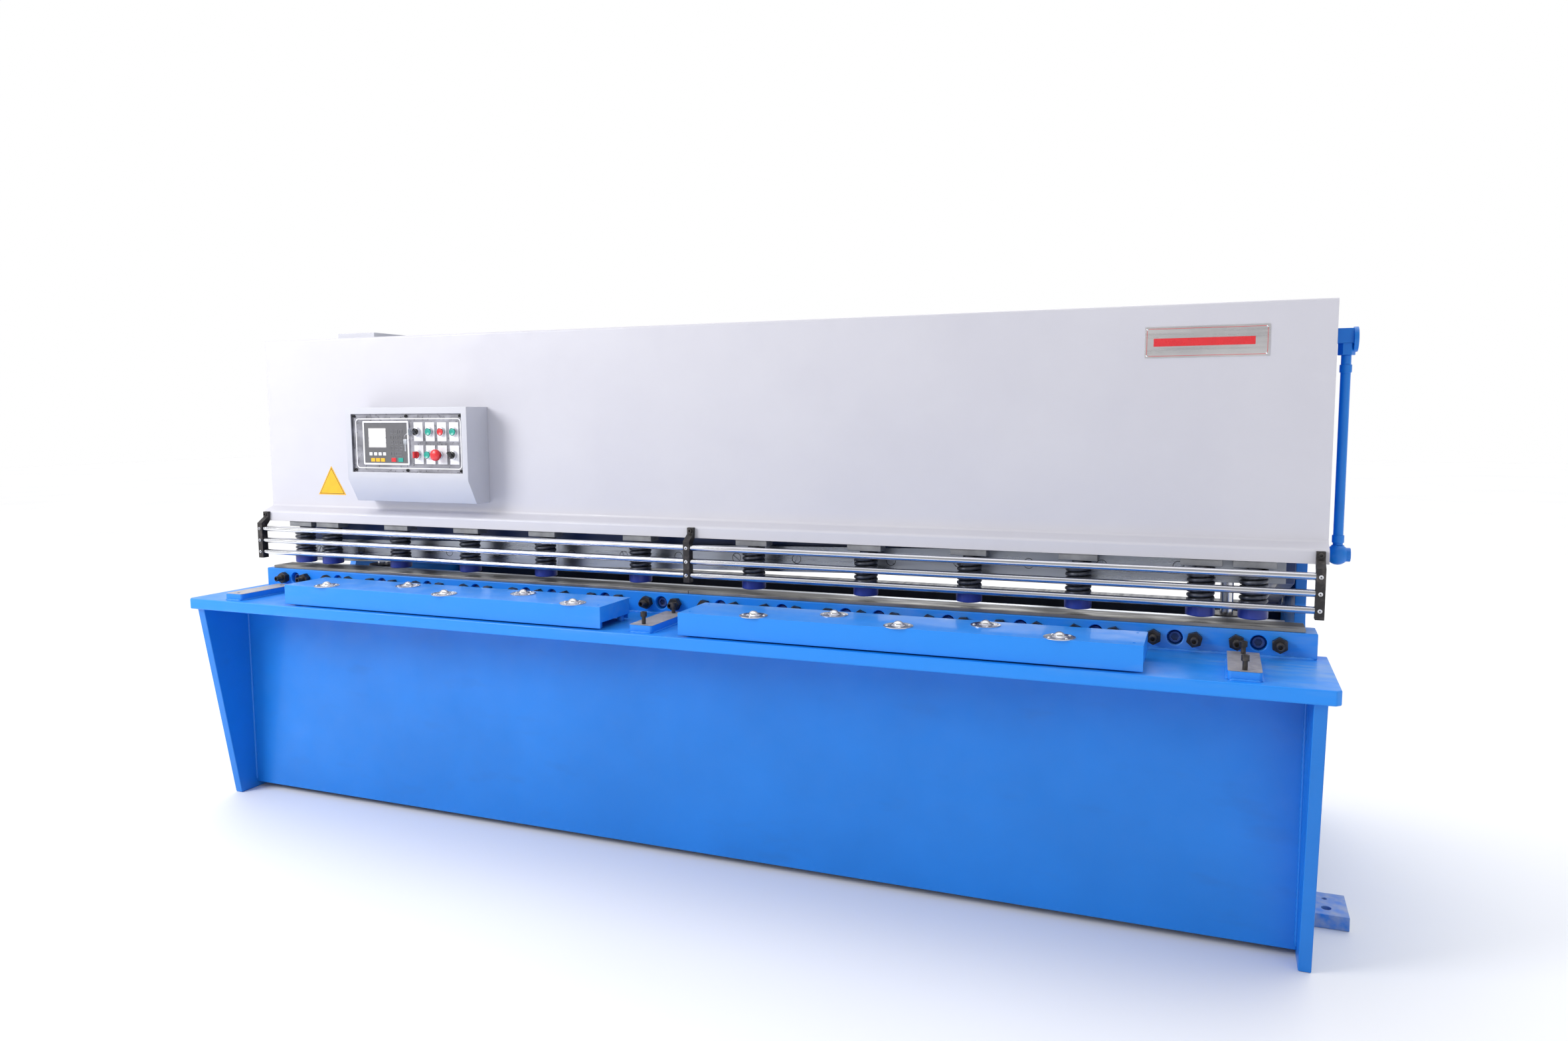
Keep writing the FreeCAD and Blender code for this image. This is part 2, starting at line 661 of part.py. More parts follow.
def name_plate():
    return box((1333, 1637), (PANEL_Y - 2, PANEL_Y), (1506, 1587))


def safety_sign():
    return front_prism([(-1562, 1078), (-1433, 1078), (-1497.5, 1183)], PANEL_Y - 1, PANEL_Y)


# ---------------------------------------------------------------- swinging beam

def edge_height(x):
    """Height of the raked cutting edge at mid stroke."""
    return UPPER_EDGE_Z + x * math.tan(math.radians(RAKE_DEG))


def raked_bar(x0, x1, y0, y1, above, high):
    """Bar that follows the raked edge, from `above` it up to `high` more."""
    return front_prism([(x0, edge_height(x0) + above), (x1, edge_height(x1) + above),
                        (x1, edge_height(x1) + above + high),
                        (x0, edge_height(x0) + above + high)], y0, y1)


BLADE_FACE = PIVOT_Y - SWING_RADIUS
PLATE_FRONT = BLADE_FACE + UPPER_BLADE_THICK
PLATE_BACK = PLATE_FRONT + BEAM_PLATE
SCREW_LIFT = 41.0


def upper_blades():
    holes = []
    for x in both_signs(BOLT_X):
        z = edge_height(x) + SCREW_LIFT
        holes.append(rod(14, (x, BLADE_FACE, z), Y_AXIS, 9))
        holes.append(rod(8, (x, BLADE_FACE, z), Y_AXIS, UPPER_BLADE_THICK))
    return [raised(cut(raked_bar(x0, x1, BLADE_FACE, PLATE_FRONT, 0, UPPER_BLADE_HIGH), holes))
            for x0, x1 in blade_spans()]


def upper_blade_screws():
    """Flat slotted screws, flush with the blade."""
    screws = []
    for x in both_signs(BOLT_X):
        z = edge_height(x) + SCREW_LIFT
        head = rod(13.8, (x, BLADE_FACE + 0.4, z), Y_AXIS, 8.6)
        shank = rod(7.9, (x, BLADE_FACE + 9, z), Y_AXIS, 40)
        slot = box((x - 14, x + 14), (BLADE_FACE, BLADE_FACE + 3), (z - 1.5, z + 1.5))
        slot.rotate(V(x, 0, z), Y_AXIS, 37 * x / 100)
        screws.append(raised(head.fuse(shank).cut(slot)))
    return screws


def beam_arm():
    """Right end plate, from the blade plate back to the hub on the pivot."""
    outline = [(PLATE_BACK, 850), (PLATE_BACK, BEAM_TOP), (BEAM_BACK, BEAM_TOP), (150, 1010),
               (505, 888), (445, 714), (-60, 800)]
    plate = side_prism(outline, 1685, BEAM_HALF)
    hub = rod(92, (1660, PIVOT_Y, PIVOT_Z), X_AXIS, 1738 - 1660)
    return fuse([plate, hub])


def blade_beam():
    """Welded swinging beam: blade plate, top and back plates, ribs, arms and a torsion tube."""
    seat = raked_bar(-BEAM_HALF, BEAM_HALF, PLATE_FRONT, PLATE_BACK, 12, 60)
    upper = front_prism([(-BEAM_HALF, edge_height(-BEAM_HALF) + 72),
                         (BEAM_HALF, edge_height(BEAM_HALF) + 72),
                         (BEAM_HALF, BEAM_TOP), (-BEAM_HALF, BEAM_TOP)], PLATE_FRONT, PLATE_BACK)
    top = box((-1685, 1685), (PLATE_BACK, BEAM_BACK), (BEAM_TOP - 20, BEAM_TOP))
    back = box((-1685, 1685), (BEAM_BACK - 20, BEAM_BACK), (1000, BEAM_TOP - 20))
    ribs = [box((x - 8, x + 8), (PLATE_BACK, BEAM_BACK - 20), (905, BEAM_TOP - 20))
            for x in (-1560, -1000, -500, 0, 500, 1000, 1560)]
    main_pad = box((CYLINDER_X - 55, CYLINDER_X + 55), (-388, -272), (BEAM_TOP, BEAM_TOP + 30))
    return_pad = box((RETURN_X - 40, RETURN_X + 40), (-215, -105), (875, 905))
    torsion = tube(50, 42, (-1685, 400, 835), X_AXIS, 3370)
    pieces = [seat, upper, top, back, torsion] + ribs
    for piece in (main_pad, return_pad, beam_arm()):
        pieces += both_sides(piece)
    beam = fuse(pieces)
    bores = both_sides(rod(PIVOT_R + 10, (1650, PIVOT_Y, PIVOT_Z), X_AXIS, 100))
    for x in both_signs(BOLT_X):
        z = edge_height(x) + SCREW_LIFT
        bores.append(rod(8, (x, PLATE_FRONT, z), Y_AXIS, 30))
    return raised(cut(beam, bores))


def pivot_bushes():
    bush = tube(PIVOT_R + 10, PIVOT_R + RUNNING_GAP, (1660, PIVOT_Y, PIVOT_Z), X_AXIS, 78)
    return [raised(part) for part in both_sides(bush)]


def pivot_shafts():
    """Fixed pivot pins with flanges, seated in the housings."""
    pin = rod(PIVOT_R, (1650, PIVOT_Y, PIVOT_Z), X_AXIS, SIDE_IN - 1650)
    spigot = rod(55, (SIDE_IN, PIVOT_Y, PIVOT_Z), X_AXIS, SIDE_THICK)
    flange = rod(85, (SIDE_OUT, PIVOT_Y, PIVOT_Z), X_AXIS, 16)
    bolts = []
    for step in range(6):
        angle = math.radians(60 * step)
        place = (SIDE_OUT + 16, PIVOT_Y + 70 * math.cos(angle), PIVOT_Z + 70 * math.sin(angle))
        bolts.append(hexagon(13, place, X_AXIS, 6))
    return both_sides(fuse([pin, spigot, flange] + bolts))


# ---------------------------------------------------------------- hydraulics

def main_cylinders():
    """Main cylinder barrels on square flanges, hollow for the piston."""
    x = CYLINDER_X
    y = CYLINDER_Y
    flange = box((x - 80, x + 80), (y - 75, y + 75), (1290, 1322))
    barrel = rod(64, (x, y, 1322), Z_AXIS, 270)
    cap = rod(72, (x, y, 1592), Z_AXIS, 28)
    port = rod(14, (x, y + 72, 1560), Y_AXIS, 22)
    throat = rod(CYLINDER_ROD_R + RUNNING_GAP, (x, y, 1290), Z_AXIS, 40)
    chamber = rod(52, (x, y, 1326), Z_AXIS, 262)
    stub = rod(14, (x, y + 50, 1560), Y_AXIS, 24)
    return both_sides(cut(fuse([flange, barrel, cap, port, stub]), [throat, chamber]))


def main_piston():
    """Right piston and rod with a domed foot."""
    x = CYLINDER_X
    y = CYLINDER_Y
    shaft = rod(CYLINDER_ROD_R, (x, y, PISTON_TIP), Z_AXIS, 1500 - PISTON_TIP)
    foot = [edge for edge in shaft.Edges
            if edge.BoundBox.ZMax < PISTON_TIP + 1 and edge.BoundBox.XLength > 1]
    shaft = shaft.makeFillet(30, foot)
    head = rod(51.7, (x, y, 1500), Z_AXIS, 40)
    return shaft.fuse(head)


def return_cylinders():
    """Gas return cylinders, bracketed to the housings, which lift the beam."""
    x = RETURN_X
    y = RETURN_Y
    barrel = rod(42, (x, y, 440), Z_AXIS, 340)
    collar = rod(50, (x, y, 740), Z_AXIS, 40)
    arm = box((x, SIDE_IN), (y - 35, y + 35), (470, 500))
    brace = box((x, SIDE_IN), (y - 35, y + 35), (690, 715))
    throat = rod(RETURN_ROD_R + RUNNING_GAP, (x, y, 755), Z_AXIS, 30)
    chamber = rod(32, (x, y, 460), Z_AXIS, 296)
    return both_sides(cut(fuse([barrel, collar, arm, brace]), [throat, chamber]))


def return_rod():
    """Right return rod with a domed tip and a piston."""
    x = RETURN_X
    y = RETURN_Y
    shaft = rod(RETURN_ROD_R, (x, y, 650), Z_AXIS, RETURN_TIP - 650)
    tip = [edge for edge in shaft.Edges
           if edge.BoundBox.ZMin > RETURN_TIP - 1 and edge.BoundBox.XLength > 1]
    shaft = shaft.makeFillet(12, tip)
    head = rod(31.7, (x, y, 620), Z_AXIS, 30)
    return shaft.fuse(head)


def oil_tank():
    """Tank bolted behind the top tie, with a filler and a level glass frame."""
    outer = box((-760, 760), (-420, 60), (1235, 1425))
    inner = box((-754, 754), (-414, 54), (1241, 1419))
    hanger = box((-760, 760), (-420, -400), (1425, 1470))
    filler = rod(38, (-560, -100, 1425), Z_AXIS, 45)
    gauge = box((-700, -670), (60, 72), (1270, 1390))
    return fuse([outer.cut(inner), hanger, filler, gauge])


def electric_motor():
    """Finned motor lying on the tank, with a terminal box and feet."""
    z = 1535
    y = -160
    shell = rod(84, (-60, y, z), X_AXIS, 300)
    fins = [tube(92, 84, (-40 + 16 * step, y, z), X_AXIS, 5) for step in range(15)]
    cowl = rod(90, (240, y, z), X_AXIS, 60)
    front = rod(96, (-76, y, z), X_AXIS, 16)
    foot = box((-30, 210), (y - 80, y + 80), (1425, 1460))
    box_top = box((40, 140), (y + 60, y + 130), (1530, 1600))
    return fuse([shell, cowl, front, foot, box_top] + fins)


def pump_unit():
    """Bell housing and gear pump on the motor's face."""
    z = 1535
    y = -160
    bell = rod(70, (-170, y, z), X_AXIS, 94)
    body = box((-290, -170), (y - 45, y + 45), (z - 50, z + 50))
    outlet = rod(16, (-230, y, z + 50), Z_AXIS, 20)
    suction = rod(20, (-230, y + 45, z), Y_AXIS, 45)
    drop = rod(20, (-230, y + 70, 1425), Z_AXIS, z - 1425 + 20)
    return fuse([bell, body, outlet, suction, drop])


def valve_block():
    """Manifold with solenoid valves on its top and face."""
    block = box((400, 620), (-260, -80), (1425, 1520))
    valves = []
    for x in (430, 500, 570):
        valves.append(box((x - 22, x + 22), (-230, -110), (1520, 1565)))
        valves.append(rod(19, (x, -110, 1543), Y_AXIS, 70))
    cartridge = rod(17, (400, -170, 1470), V(-1, 0, 0), 45)
    return fuse([block, cartridge] + valves)


def bent_pipe(radius, bend, points):
    """Round pipe along straight runs that meet in arcs of the given radius."""
    edges = []
    start = V(*points[0])
    for index in range(1, len(points) - 1):
        corner = V(*points[index])
        into = (corner - V(*points[index - 1])).normalize()
        out = (V(*points[index + 1]) - corner).normalize()
        first = corner - into * bend
        last = corner + out * bend
        centre = corner - into * bend + out * bend
        middle = centre + (corner - centre).normalize() * bend
        edges.append(Part.LineSegment(start, first).toShape())
        edges.append(Part.Arc(first, middle, last).toShape())
        start = last
    edges.append(Part.LineSegment(start, V(*points[-1])).toShape())
    path = Part.Wire(edges)
    along = (V(*points[1]) - V(*points[0])).normalize()
    section = Part.Wire([Part.Circle(V(*points[0]), along, radius).toShape()])
    return path.makePipeShell([section], True, False)


def hydraulic_pipes():
    """Rigid pipes from the manifold to both main cylinders and from the pump."""
    port_y = CYLINDER_Y + 94
    right = bent_pipe(9, 30, [(620, -200, 1480), (900, -200, 1480), (900, 0, 1480),
                              (CYLINDER_X, 0, 1480), (CYLINDER_X, 0, 1560),
                              (CYLINDER_X, port_y, 1560)])
    left = bent_pipe(9, 30, [(400, -130, 1480), (340, -130, 1480), (340, 30, 1480),
                             (-CYLINDER_X, 30, 1480), (-CYLINDER_X, 30, 1560),
                             (-CYLINDER_X, port_y, 1560)])
    supply = bent_pipe(9, 20, [(-230, -160, 1605), (-230, -160, 1630), (-340, -160, 1630),
                               (-340, -330, 1630), (510, -330, 1630), (510, -330, 1490),
                               (510, -260, 1490)])
    return [right, left, supply]


def electrical_cabinet():
    """Tall narrow cabinet behind the panel, with a door on its back face."""
    shell = box((-1480, -1312), (-414, -130), (1215, 1665.5))
    inner = box((-1477, -1315), (-411, -133), (1218, 1662.5))
    door = box((-1476, -1316), (-130, -124), (1222, 1658))
    handle = box((-1338, -1328), (-124, -112), (1410, 1470))
    return fuse([shell.cut(inner), door, handle])


def side_pipe():
    """Upright oil pipe beside the right housing, swollen at its welded ends."""
    x = SIDE_PIPE_X
    y = SIDE_PIPE_Y
    straight = rod(12, (x, y, 1016), Z_AXIS, 490)
    collars = [rod(14.5, (x, y, z), Z_AXIS, 20) for z in (1022, 1462)]
    return fuse([straight] + collars)


def side_pipe_fittings():
    """Top block with its union nut and cap, and the round banjo below."""
    x = SIDE_PIPE_X
    y = SIDE_PIPE_Y
    block = box((1796, 1834), (y - 19, y + 19), (1536, 1574))
    inlet = rod(13, (SIDE_OUT, y, 1555), X_AXIS, 30)
    cap = rod(32, (1834, y, 1546), X_AXIS, 11)
    nut = hexagon(36, (x, y, 1506), Z_AXIS, 30)
    top = fuse([block, inlet, cap, nut])
    ball = Part.makeSphere(27, V(x, y, 991))
    neck = rod(15, (x, y, 1004), Z_AXIS, 12)
    low_inlet = rod(13, (SIDE_OUT, y, 991), X_AXIS, 30)
    plug = rod(18, (x, y, 991), X_AXIS, 30)
    low = fuse([ball, neck, low_inlet, plug])
    return [top, low]


# ---------------------------------------------------------------- back gauge

def gauge_rails():
    """Rails under the beam with screw bearings, the cross shaft's hangers and the gear motor."""
    inner = GAUGE_X - 25
    outer = GAUGE_X + 25
    axis_z = GAUGE_SCREW_Z
    rail = box((inner, outer), (-300, 800), (RAIL_LOW, RAIL_HIGH))
    front = box((inner, outer), (-300, -278), (axis_z - 25, RAIL_LOW))
    rear = box((inner, outer), (700, 740), (axis_z - 25, RAIL_LOW))
    hanger = box((inner - 53, inner - 33), (765, 797), (axis_z - 18, RAIL_HIGH))
    shelf = box((inner - 53, inner), (765, 797), (RAIL_HIGH - 15, RAIL_HIGH))
    strap = box((-inner, inner), (756, 774), (950, 985))
    housing = box((-60, 60), (756, 806), (axis_z - 45, 985))
    motor = rod(45, (0, 640, axis_z), Y_AXIS, 116)
    pieces = [strap, housing, motor]
    for piece in (rail, front, rear, hanger, shelf):
        pieces += both_sides(piece)
    body = fuse(pieces)
    bores = both_sides(rod(GAUGE_SCREW_R + RUNNING_GAP, (GAUGE_X, -320, axis_z), Y_AXIS, 1062))
    bores.append(rod(GAUGE_SHAFT_R + RUNNING_GAP, (-1010, GAUGE_SHAFT_Y, axis_z), X_AXIS, 2020))
    return [raised(cut(body, bores))]


def gauge_screw(x):
    """Lead screw with a bevel wheel at its rear end."""
    shaft = rod(GAUGE_SCREW_R, (x, -300, GAUGE_SCREW_Z), Y_AXIS, 1057)
    wheel = Part.makeCone(19, 24, 14, V(x, 741, GAUGE_SCREW_Z), Y_AXIS)
    return raised(fuse([shaft, wheel]))


def gauge_cross_shaft():
    """Shaft from the gear motor to both screws, with a bevel pinion at each."""
    start = -GAUGE_X - 52
    pinions = [Part.makeCone(22, 16, 18, V(x - 50, GAUGE_SHAFT_Y, GAUGE_SCREW_Z), X_AXIS)
               for x in (-GAUGE_X, GAUGE_X)]
    shaft = rod(GAUGE_SHAFT_R, (start, GAUGE_SHAFT_Y, GAUGE_SCREW_Z), X_AXIS,
                GAUGE_X - 30 - start)
    return raised(fuse([shaft] + pinions))


def back_gauge():
    """Stop bar with its flange and the nut blocks that ride on the screws."""
    y = GAUGE_BAR_Y
    bar = box((-1480, 1480), (y, y + 16), (800, 880))
    flange = box((-1480, 1480), (y + 16, y + 70), (866, 880))
    block = box((GAUGE_X - 18, GAUGE_X + 18), (y + 50, y + 110), (880, RAIL_LOW - 1))
    carrier = box((GAUGE_X - 18, GAUGE_X + 18), (y + 16, y + 110), (866, 884))
    bore = rod(GAUGE_SCREW_R + RUNNING_GAP, (GAUGE_X, y, GAUGE_SCREW_Z), Y_AXIS, 200)
    body = fuse([bar, flange] + both_sides(block) + both_sides(carrier))
    return raised(cut(body, both_sides(bore)))


def main():
    os.makedirs("parts", exist_ok=True)
    right_housing = side_housing()
    write("side_housing_right", [right_housing])
    write("side_housing_left", [mirrored(right_housing)])
    write("work_table", [work_table()])
    write("front_apron", [front_apron()])
    write("bed_beam", [bed_beam()])
    write("bed_liner", bed_liner())
    write("lower_blades", lower_blades())
    write("lower_blade_bolts", lower_blade_bolts())
    write("adjusting_screws", adjusting_screws())
    write("cross_members", cross_members())
    write("anchor_feet", anchor_feet())
    write("rear_chute", rear_chute())
    write("hold_down_beam", [hold_down_beam()])
    write("hold_down_blocks", hold_down_blocks())
    write("hold_down_feet", hold_down_feet())
    write("hold_down_springs", hold_down_springs())
    write("front_panel", front_panel())
    write("guard_brackets", guard_brackets())
    write("guard_rods", guard_rods())
    write("ball_boxes", ball_boxes())
    write("ball_sockets", ball_sockets())
    write("transfer_balls_front", transfer_balls(BALLS_FRONT_X, BALL_FRONT_Y))
    write("transfer_balls_back", transfer_balls(BALLS_BACK_X, BALL_BACK_Y))
    write("table_pads", table_pads())
    write("pad_bolts", pad_bolts())
    write("control_box", [control_box()])
    write("operator_plate", [operator_plate()])
    write("controller", [controller()])
    write("switch_bezels", switch_bezels())
    write("key_switch", [key_switch(SWITCH_X[0], ROW_HIGH)])
    write("start_button", [push_button(SWITCH_X[1], ROW_HIGH)])
    write("stop_button", [push_button(SWITCH_X[2], ROW_HIGH)])
    write("cycle_button", [push_button(SWITCH_X[3], ROW_HIGH)])
    write("red_knob", [turning_knob(KNOB_X[0], ROW_LOW, 22)])
    write("green_button", [push_button(KNOB_X[1], ROW_LOW)])
    write("emergency_stop", [mushroom_button(KNOB_X[2], ROW_LOW)])
    write("black_selector", [turning_knob(KNOB_X[3], ROW_LOW, 26)])
    write("name_plate", [name_plate()])
    write("safety_sign", [safety_sign()])
    write("blade_beam", [blade_beam()])
    write("upper_blades", upper_blades())
    write("upper_blade_screws", upper_blade_screws())
    write("pivot_bushes", pivot_bushes())
    write("pivot_shafts", pivot_shafts())
    write("main_cylinders", main_cylinders())
    piston = main_piston()
    write("main_piston_right", [piston])
    write("main_piston_left", [mirrored(piston)])
    write("return_cylinders", return_cylinders())
    write("return_rods", both_sides(return_rod()))
    write("oil_tank", [oil_tank()])
    write("motor_and_pump", [electric_motor(), pump_unit()])
    write("valve_block", [valve_block()])
    write("hydraulic_pipes", hydraulic_pipes())
    write("electrical_cabinet", [electrical_cabinet()])
    write("side_oil_pipe", [side_pipe()] + side_pipe_fittings())
    write("gauge_rails", gauge_rails())
    write("gauge_screw_right", [gauge_screw(GAUGE_X)])
    write("gauge_screw_left", [gauge_screw(-GAUGE_X)])
    write("gauge_cross_shaft", [gauge_cross_shaft()])
    write("back_gauge", [back_gauge()])


main()
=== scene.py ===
"""Looks of a hydraulic swing-beam guillotine shear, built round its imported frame.

Everything is in metres in the frame's own axes: X along the machine, Y from the
operator to the back and Z up.
"""
import json
import math

import bmesh
import bpy
from mathutils import Matrix, Vector, noise

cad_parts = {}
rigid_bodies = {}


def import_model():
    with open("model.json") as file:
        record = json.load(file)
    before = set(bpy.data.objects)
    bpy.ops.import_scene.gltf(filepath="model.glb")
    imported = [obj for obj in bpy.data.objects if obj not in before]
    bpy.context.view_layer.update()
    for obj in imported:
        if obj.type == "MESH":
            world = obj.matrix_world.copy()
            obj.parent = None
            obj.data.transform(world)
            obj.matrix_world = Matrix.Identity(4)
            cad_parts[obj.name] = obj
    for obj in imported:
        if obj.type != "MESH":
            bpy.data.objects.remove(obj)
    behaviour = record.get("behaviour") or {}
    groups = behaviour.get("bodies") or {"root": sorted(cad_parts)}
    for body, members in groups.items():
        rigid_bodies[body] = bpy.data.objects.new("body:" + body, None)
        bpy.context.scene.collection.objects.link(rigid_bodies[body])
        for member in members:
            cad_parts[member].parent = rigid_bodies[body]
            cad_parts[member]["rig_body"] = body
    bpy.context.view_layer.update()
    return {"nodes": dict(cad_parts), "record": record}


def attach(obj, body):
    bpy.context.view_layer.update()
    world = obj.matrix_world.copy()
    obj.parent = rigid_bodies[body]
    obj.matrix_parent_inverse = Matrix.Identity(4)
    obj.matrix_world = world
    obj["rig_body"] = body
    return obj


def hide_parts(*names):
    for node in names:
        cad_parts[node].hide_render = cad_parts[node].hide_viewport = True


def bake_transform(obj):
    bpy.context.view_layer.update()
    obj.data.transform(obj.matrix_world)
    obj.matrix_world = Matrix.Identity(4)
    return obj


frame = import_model()

NODES = frame["nodes"]
NODE_SLOT = {part["node"]: part["material_slot"] for part in frame["record"]["subparts"]}
FINISH = {}

# Swinging beam
PIVOT = Vector((0.0, 0.480, 0.800))
RAISE = math.radians(-3.6)
RAKE = math.tan(math.radians(1.5))
EDGE_MID_Z = 0.8085
SCREW_LIFT = 0.041
BLADE_Y = -0.3978
SCREW_X = (0.104, 0.310, 0.514, 0.616, 0.822, 1.027, 1.229, 1.432, 1.635)

# Places shared with the frame
NUT_COUNT = 34
NUT_PITCH = 0.1021
NUT_Z = 0.769
BED_FRONT = -0.518
HOLD_X = (0.200, 0.563, 0.873, 1.176, 1.491, 1.620)
HOLD_Y = -0.475
PAD_X = (-1.612, -0.014, 1.597)
TABLE_TOP = 0.735
SPRING_LOW = 0.857
SPRING_HIGH = 0.960
BALL_ROWS = (
    (-0.793, (-1.209, -0.728, -0.253, 0.336, 0.753, 1.169)),
    (-0.702, (-0.950, -0.495, 0.542, 0.966)),
)
BALL_Z = 0.803
FLANGE_Z = 0.804
GUARD_Z = (0.951, 0.908, 0.865)
GUARD_X = (-1.773, 0.0, 1.771)
PLATE_Y = -0.563
LABEL_X = (-1.0015, -0.9525, -0.9030, -0.8530)
ROW_HIGH = 1.311
ROW_LOW = 1.233
SWITCH_X = (-1.007, -0.953, -0.903, -0.852)
KNOB_X = (-1.005, -0.961, -0.914, -0.857)
PANEL_Y = -0.458

# Lays a height along Z towards the operator
TO_OPERATOR = Matrix.Rotation(math.pi / 2, 4, "X")


# ---------------------------------------------------------------- finishes

class Surface:
    """A Principled material, with short calls for the textures that vary it."""

    def __init__(self, slot, colour, roughness, metallic=0.0, coat=0.0, coat_roughness=0.08):
        self.material = bpy.data.materials.new(slot)
        self.material.use_nodes = True
        self.tree = self.material.node_tree
        self.shader = self.tree.nodes["Principled BSDF"]
        self.set("Base Color", (*colour, 1.0))
        self.set("Roughness", roughness)
        self.set("Metallic", metallic)
        self.set("Coat Weight", coat)
        self.set("Coat Roughness", coat_roughness)
        self.place = self.tree.nodes.new("ShaderNodeTexCoord").outputs["Object"]
        self.height = None
        FINISH[slot] = self.material

    def set(self, name, value):
        self.shader.inputs[name].default_value = value

    def join(self, output, socket):
        self.tree.links.new(output, socket)

    def noise(self, scale, detail=3.0, stretch=(1.0, 1.0, 1.0), shift=(0.0, 0.0, 0.0)):
        """Cloudy pattern with `scale` spots a metre, drawn out along an axis by `stretch`."""
        mapping = self.tree.nodes.new("ShaderNodeMapping")
        mapping.inputs["Scale"].default_value = stretch
        mapping.inputs["Location"].default_value = shift
        self.join(self.place, mapping.inputs["Vector"])
        texture = self.tree.nodes.new("ShaderNodeTexNoise")
        texture.inputs["Scale"].default_value = scale
        texture.inputs["Detail"].default_value = detail
        self.join(mapping.outputs["Vector"], texture.inputs["Vector"])
        return texture.outputs["Fac"]

    def waves(self, scale, axis, distortion=0.0):
        """Parallel bands across an axis."""
        texture = self.tree.nodes.new("ShaderNodeTexWave")
        texture.bands_direction = axis
        texture.inputs["Scale"].default_value = scale
        texture.inputs["Distortion"].default_value = distortion
        self.join(self.place, texture.inputs["Vector"])
        return texture.outputs["Fac"]

    def window(self, factor, low, high, to_low=0.0, to_high=1.0):
        """Stretch the part of a pattern between two levels to a new range."""
        span = self.tree.nodes.new("ShaderNodeMapRange")
        span.inputs["From Min"].default_value = low
        span.inputs["From Max"].default_value = high
        span.inputs["To Min"].default_value = to_low
        span.inputs["To Max"].default_value = to_high
        self.join(factor, span.inputs["Value"])
        return span.outputs["Result"]

    def both(self, first, second, operation="MULTIPLY"):
        """Put two patterns together; as they stand, only where both are high."""
        step = self.tree.nodes.new("ShaderNodeMath")
        step.operation = operation
        self.join(first, step.inputs[0])
        self.join(second, step.inputs[1])
        return step.outputs["Value"]

    def axis(self, name):
        """Place along one axis of the frame."""
        split = self.tree.nodes.new("ShaderNodeSeparateXYZ")
        self.join(self.place, split.inputs["Vector"])
        return split.outputs[name]

    def tint(self, factor, colour):
        """Blend the colour so far towards another where the factor is high."""
        blend = self.tree.nodes.new("ShaderNodeMix")
        blend.data_type = "RGBA"
        socket = self.shader.inputs["Base Color"]
        if socket.is_linked:
            self.join(socket.links[0].from_socket, blend.inputs["A"])
        else:
            blend.inputs["A"].default_value = socket.default_value
        blend.inputs["B"].default_value = (*colour, 1.0)
        self.join(factor, blend.inputs["Factor"])
        self.join(blend.outputs["Result"], socket)

    def gloss(self, factor, low, high):
        """Vary the roughness between two values."""
        self.join(self.window(factor, 0.3, 0.7, low, high), self.shader.inputs["Roughness"])

    def relief(self, factor, depth):
        """Add a pattern of the given depth in metres to the surface."""
        bump = self.tree.nodes.new("ShaderNodeBump")
        bump.inputs["Strength"].default_value = 1.0
        bump.inputs["Distance"].default_value = depth
        self.join(factor, bump.inputs["Height"])
        if self.height is not None:
            self.join(self.height, bump.inputs["Normal"])
        self.height = bump.outputs["Normal"]
        self.join(self.height, self.shader.inputs["Normal"])


def enamel(slot, colour, lighter, roughness, coat, grime=0.0):
    """Sprayed machine enamel with orange peel, slow waves and a little shop dirt."""
    paint = Surface(slot, colour, roughness, coat=coat)
    paint.tint(paint.window(paint.noise(3.0, 4.0), 0.35, 0.7), lighter)
    if grime:
        spots = paint.window(paint.noise(9.0, 9.0, (0.5, 1.0, 1.6)), 0.60, 0.74, 0.0, grime)
        paint.tint(spots, tuple(0.35 * value + 0.02 for value in colour))
    paint.gloss(paint.noise(14.0, 6.0), roughness * 0.8, roughness * 1.35)
    paint.relief(paint.noise(340.0, 1.0), 0.00012)
    paint.relief(paint.noise(16.0, 1.0), 0.0005)
    return paint


def plain_plastic(slot, colour, roughness=0.32):
    """Moulded plastic with a fine satin grain."""
    plastic = Surface(slot, colour, roughness, coat=0.15)
    plastic.tint(plastic.window(plastic.noise(60.0, 3.0), 0.4, 0.7, 0.0, 0.35),
                 tuple(0.8 * value for value in colour))
    plastic.gloss(plastic.noise(120.0, 3.0), roughness * 0.85, roughness * 1.25)
    plastic.relief(plastic.noise(1500.0, 2.0), 0.00003)
    return plastic


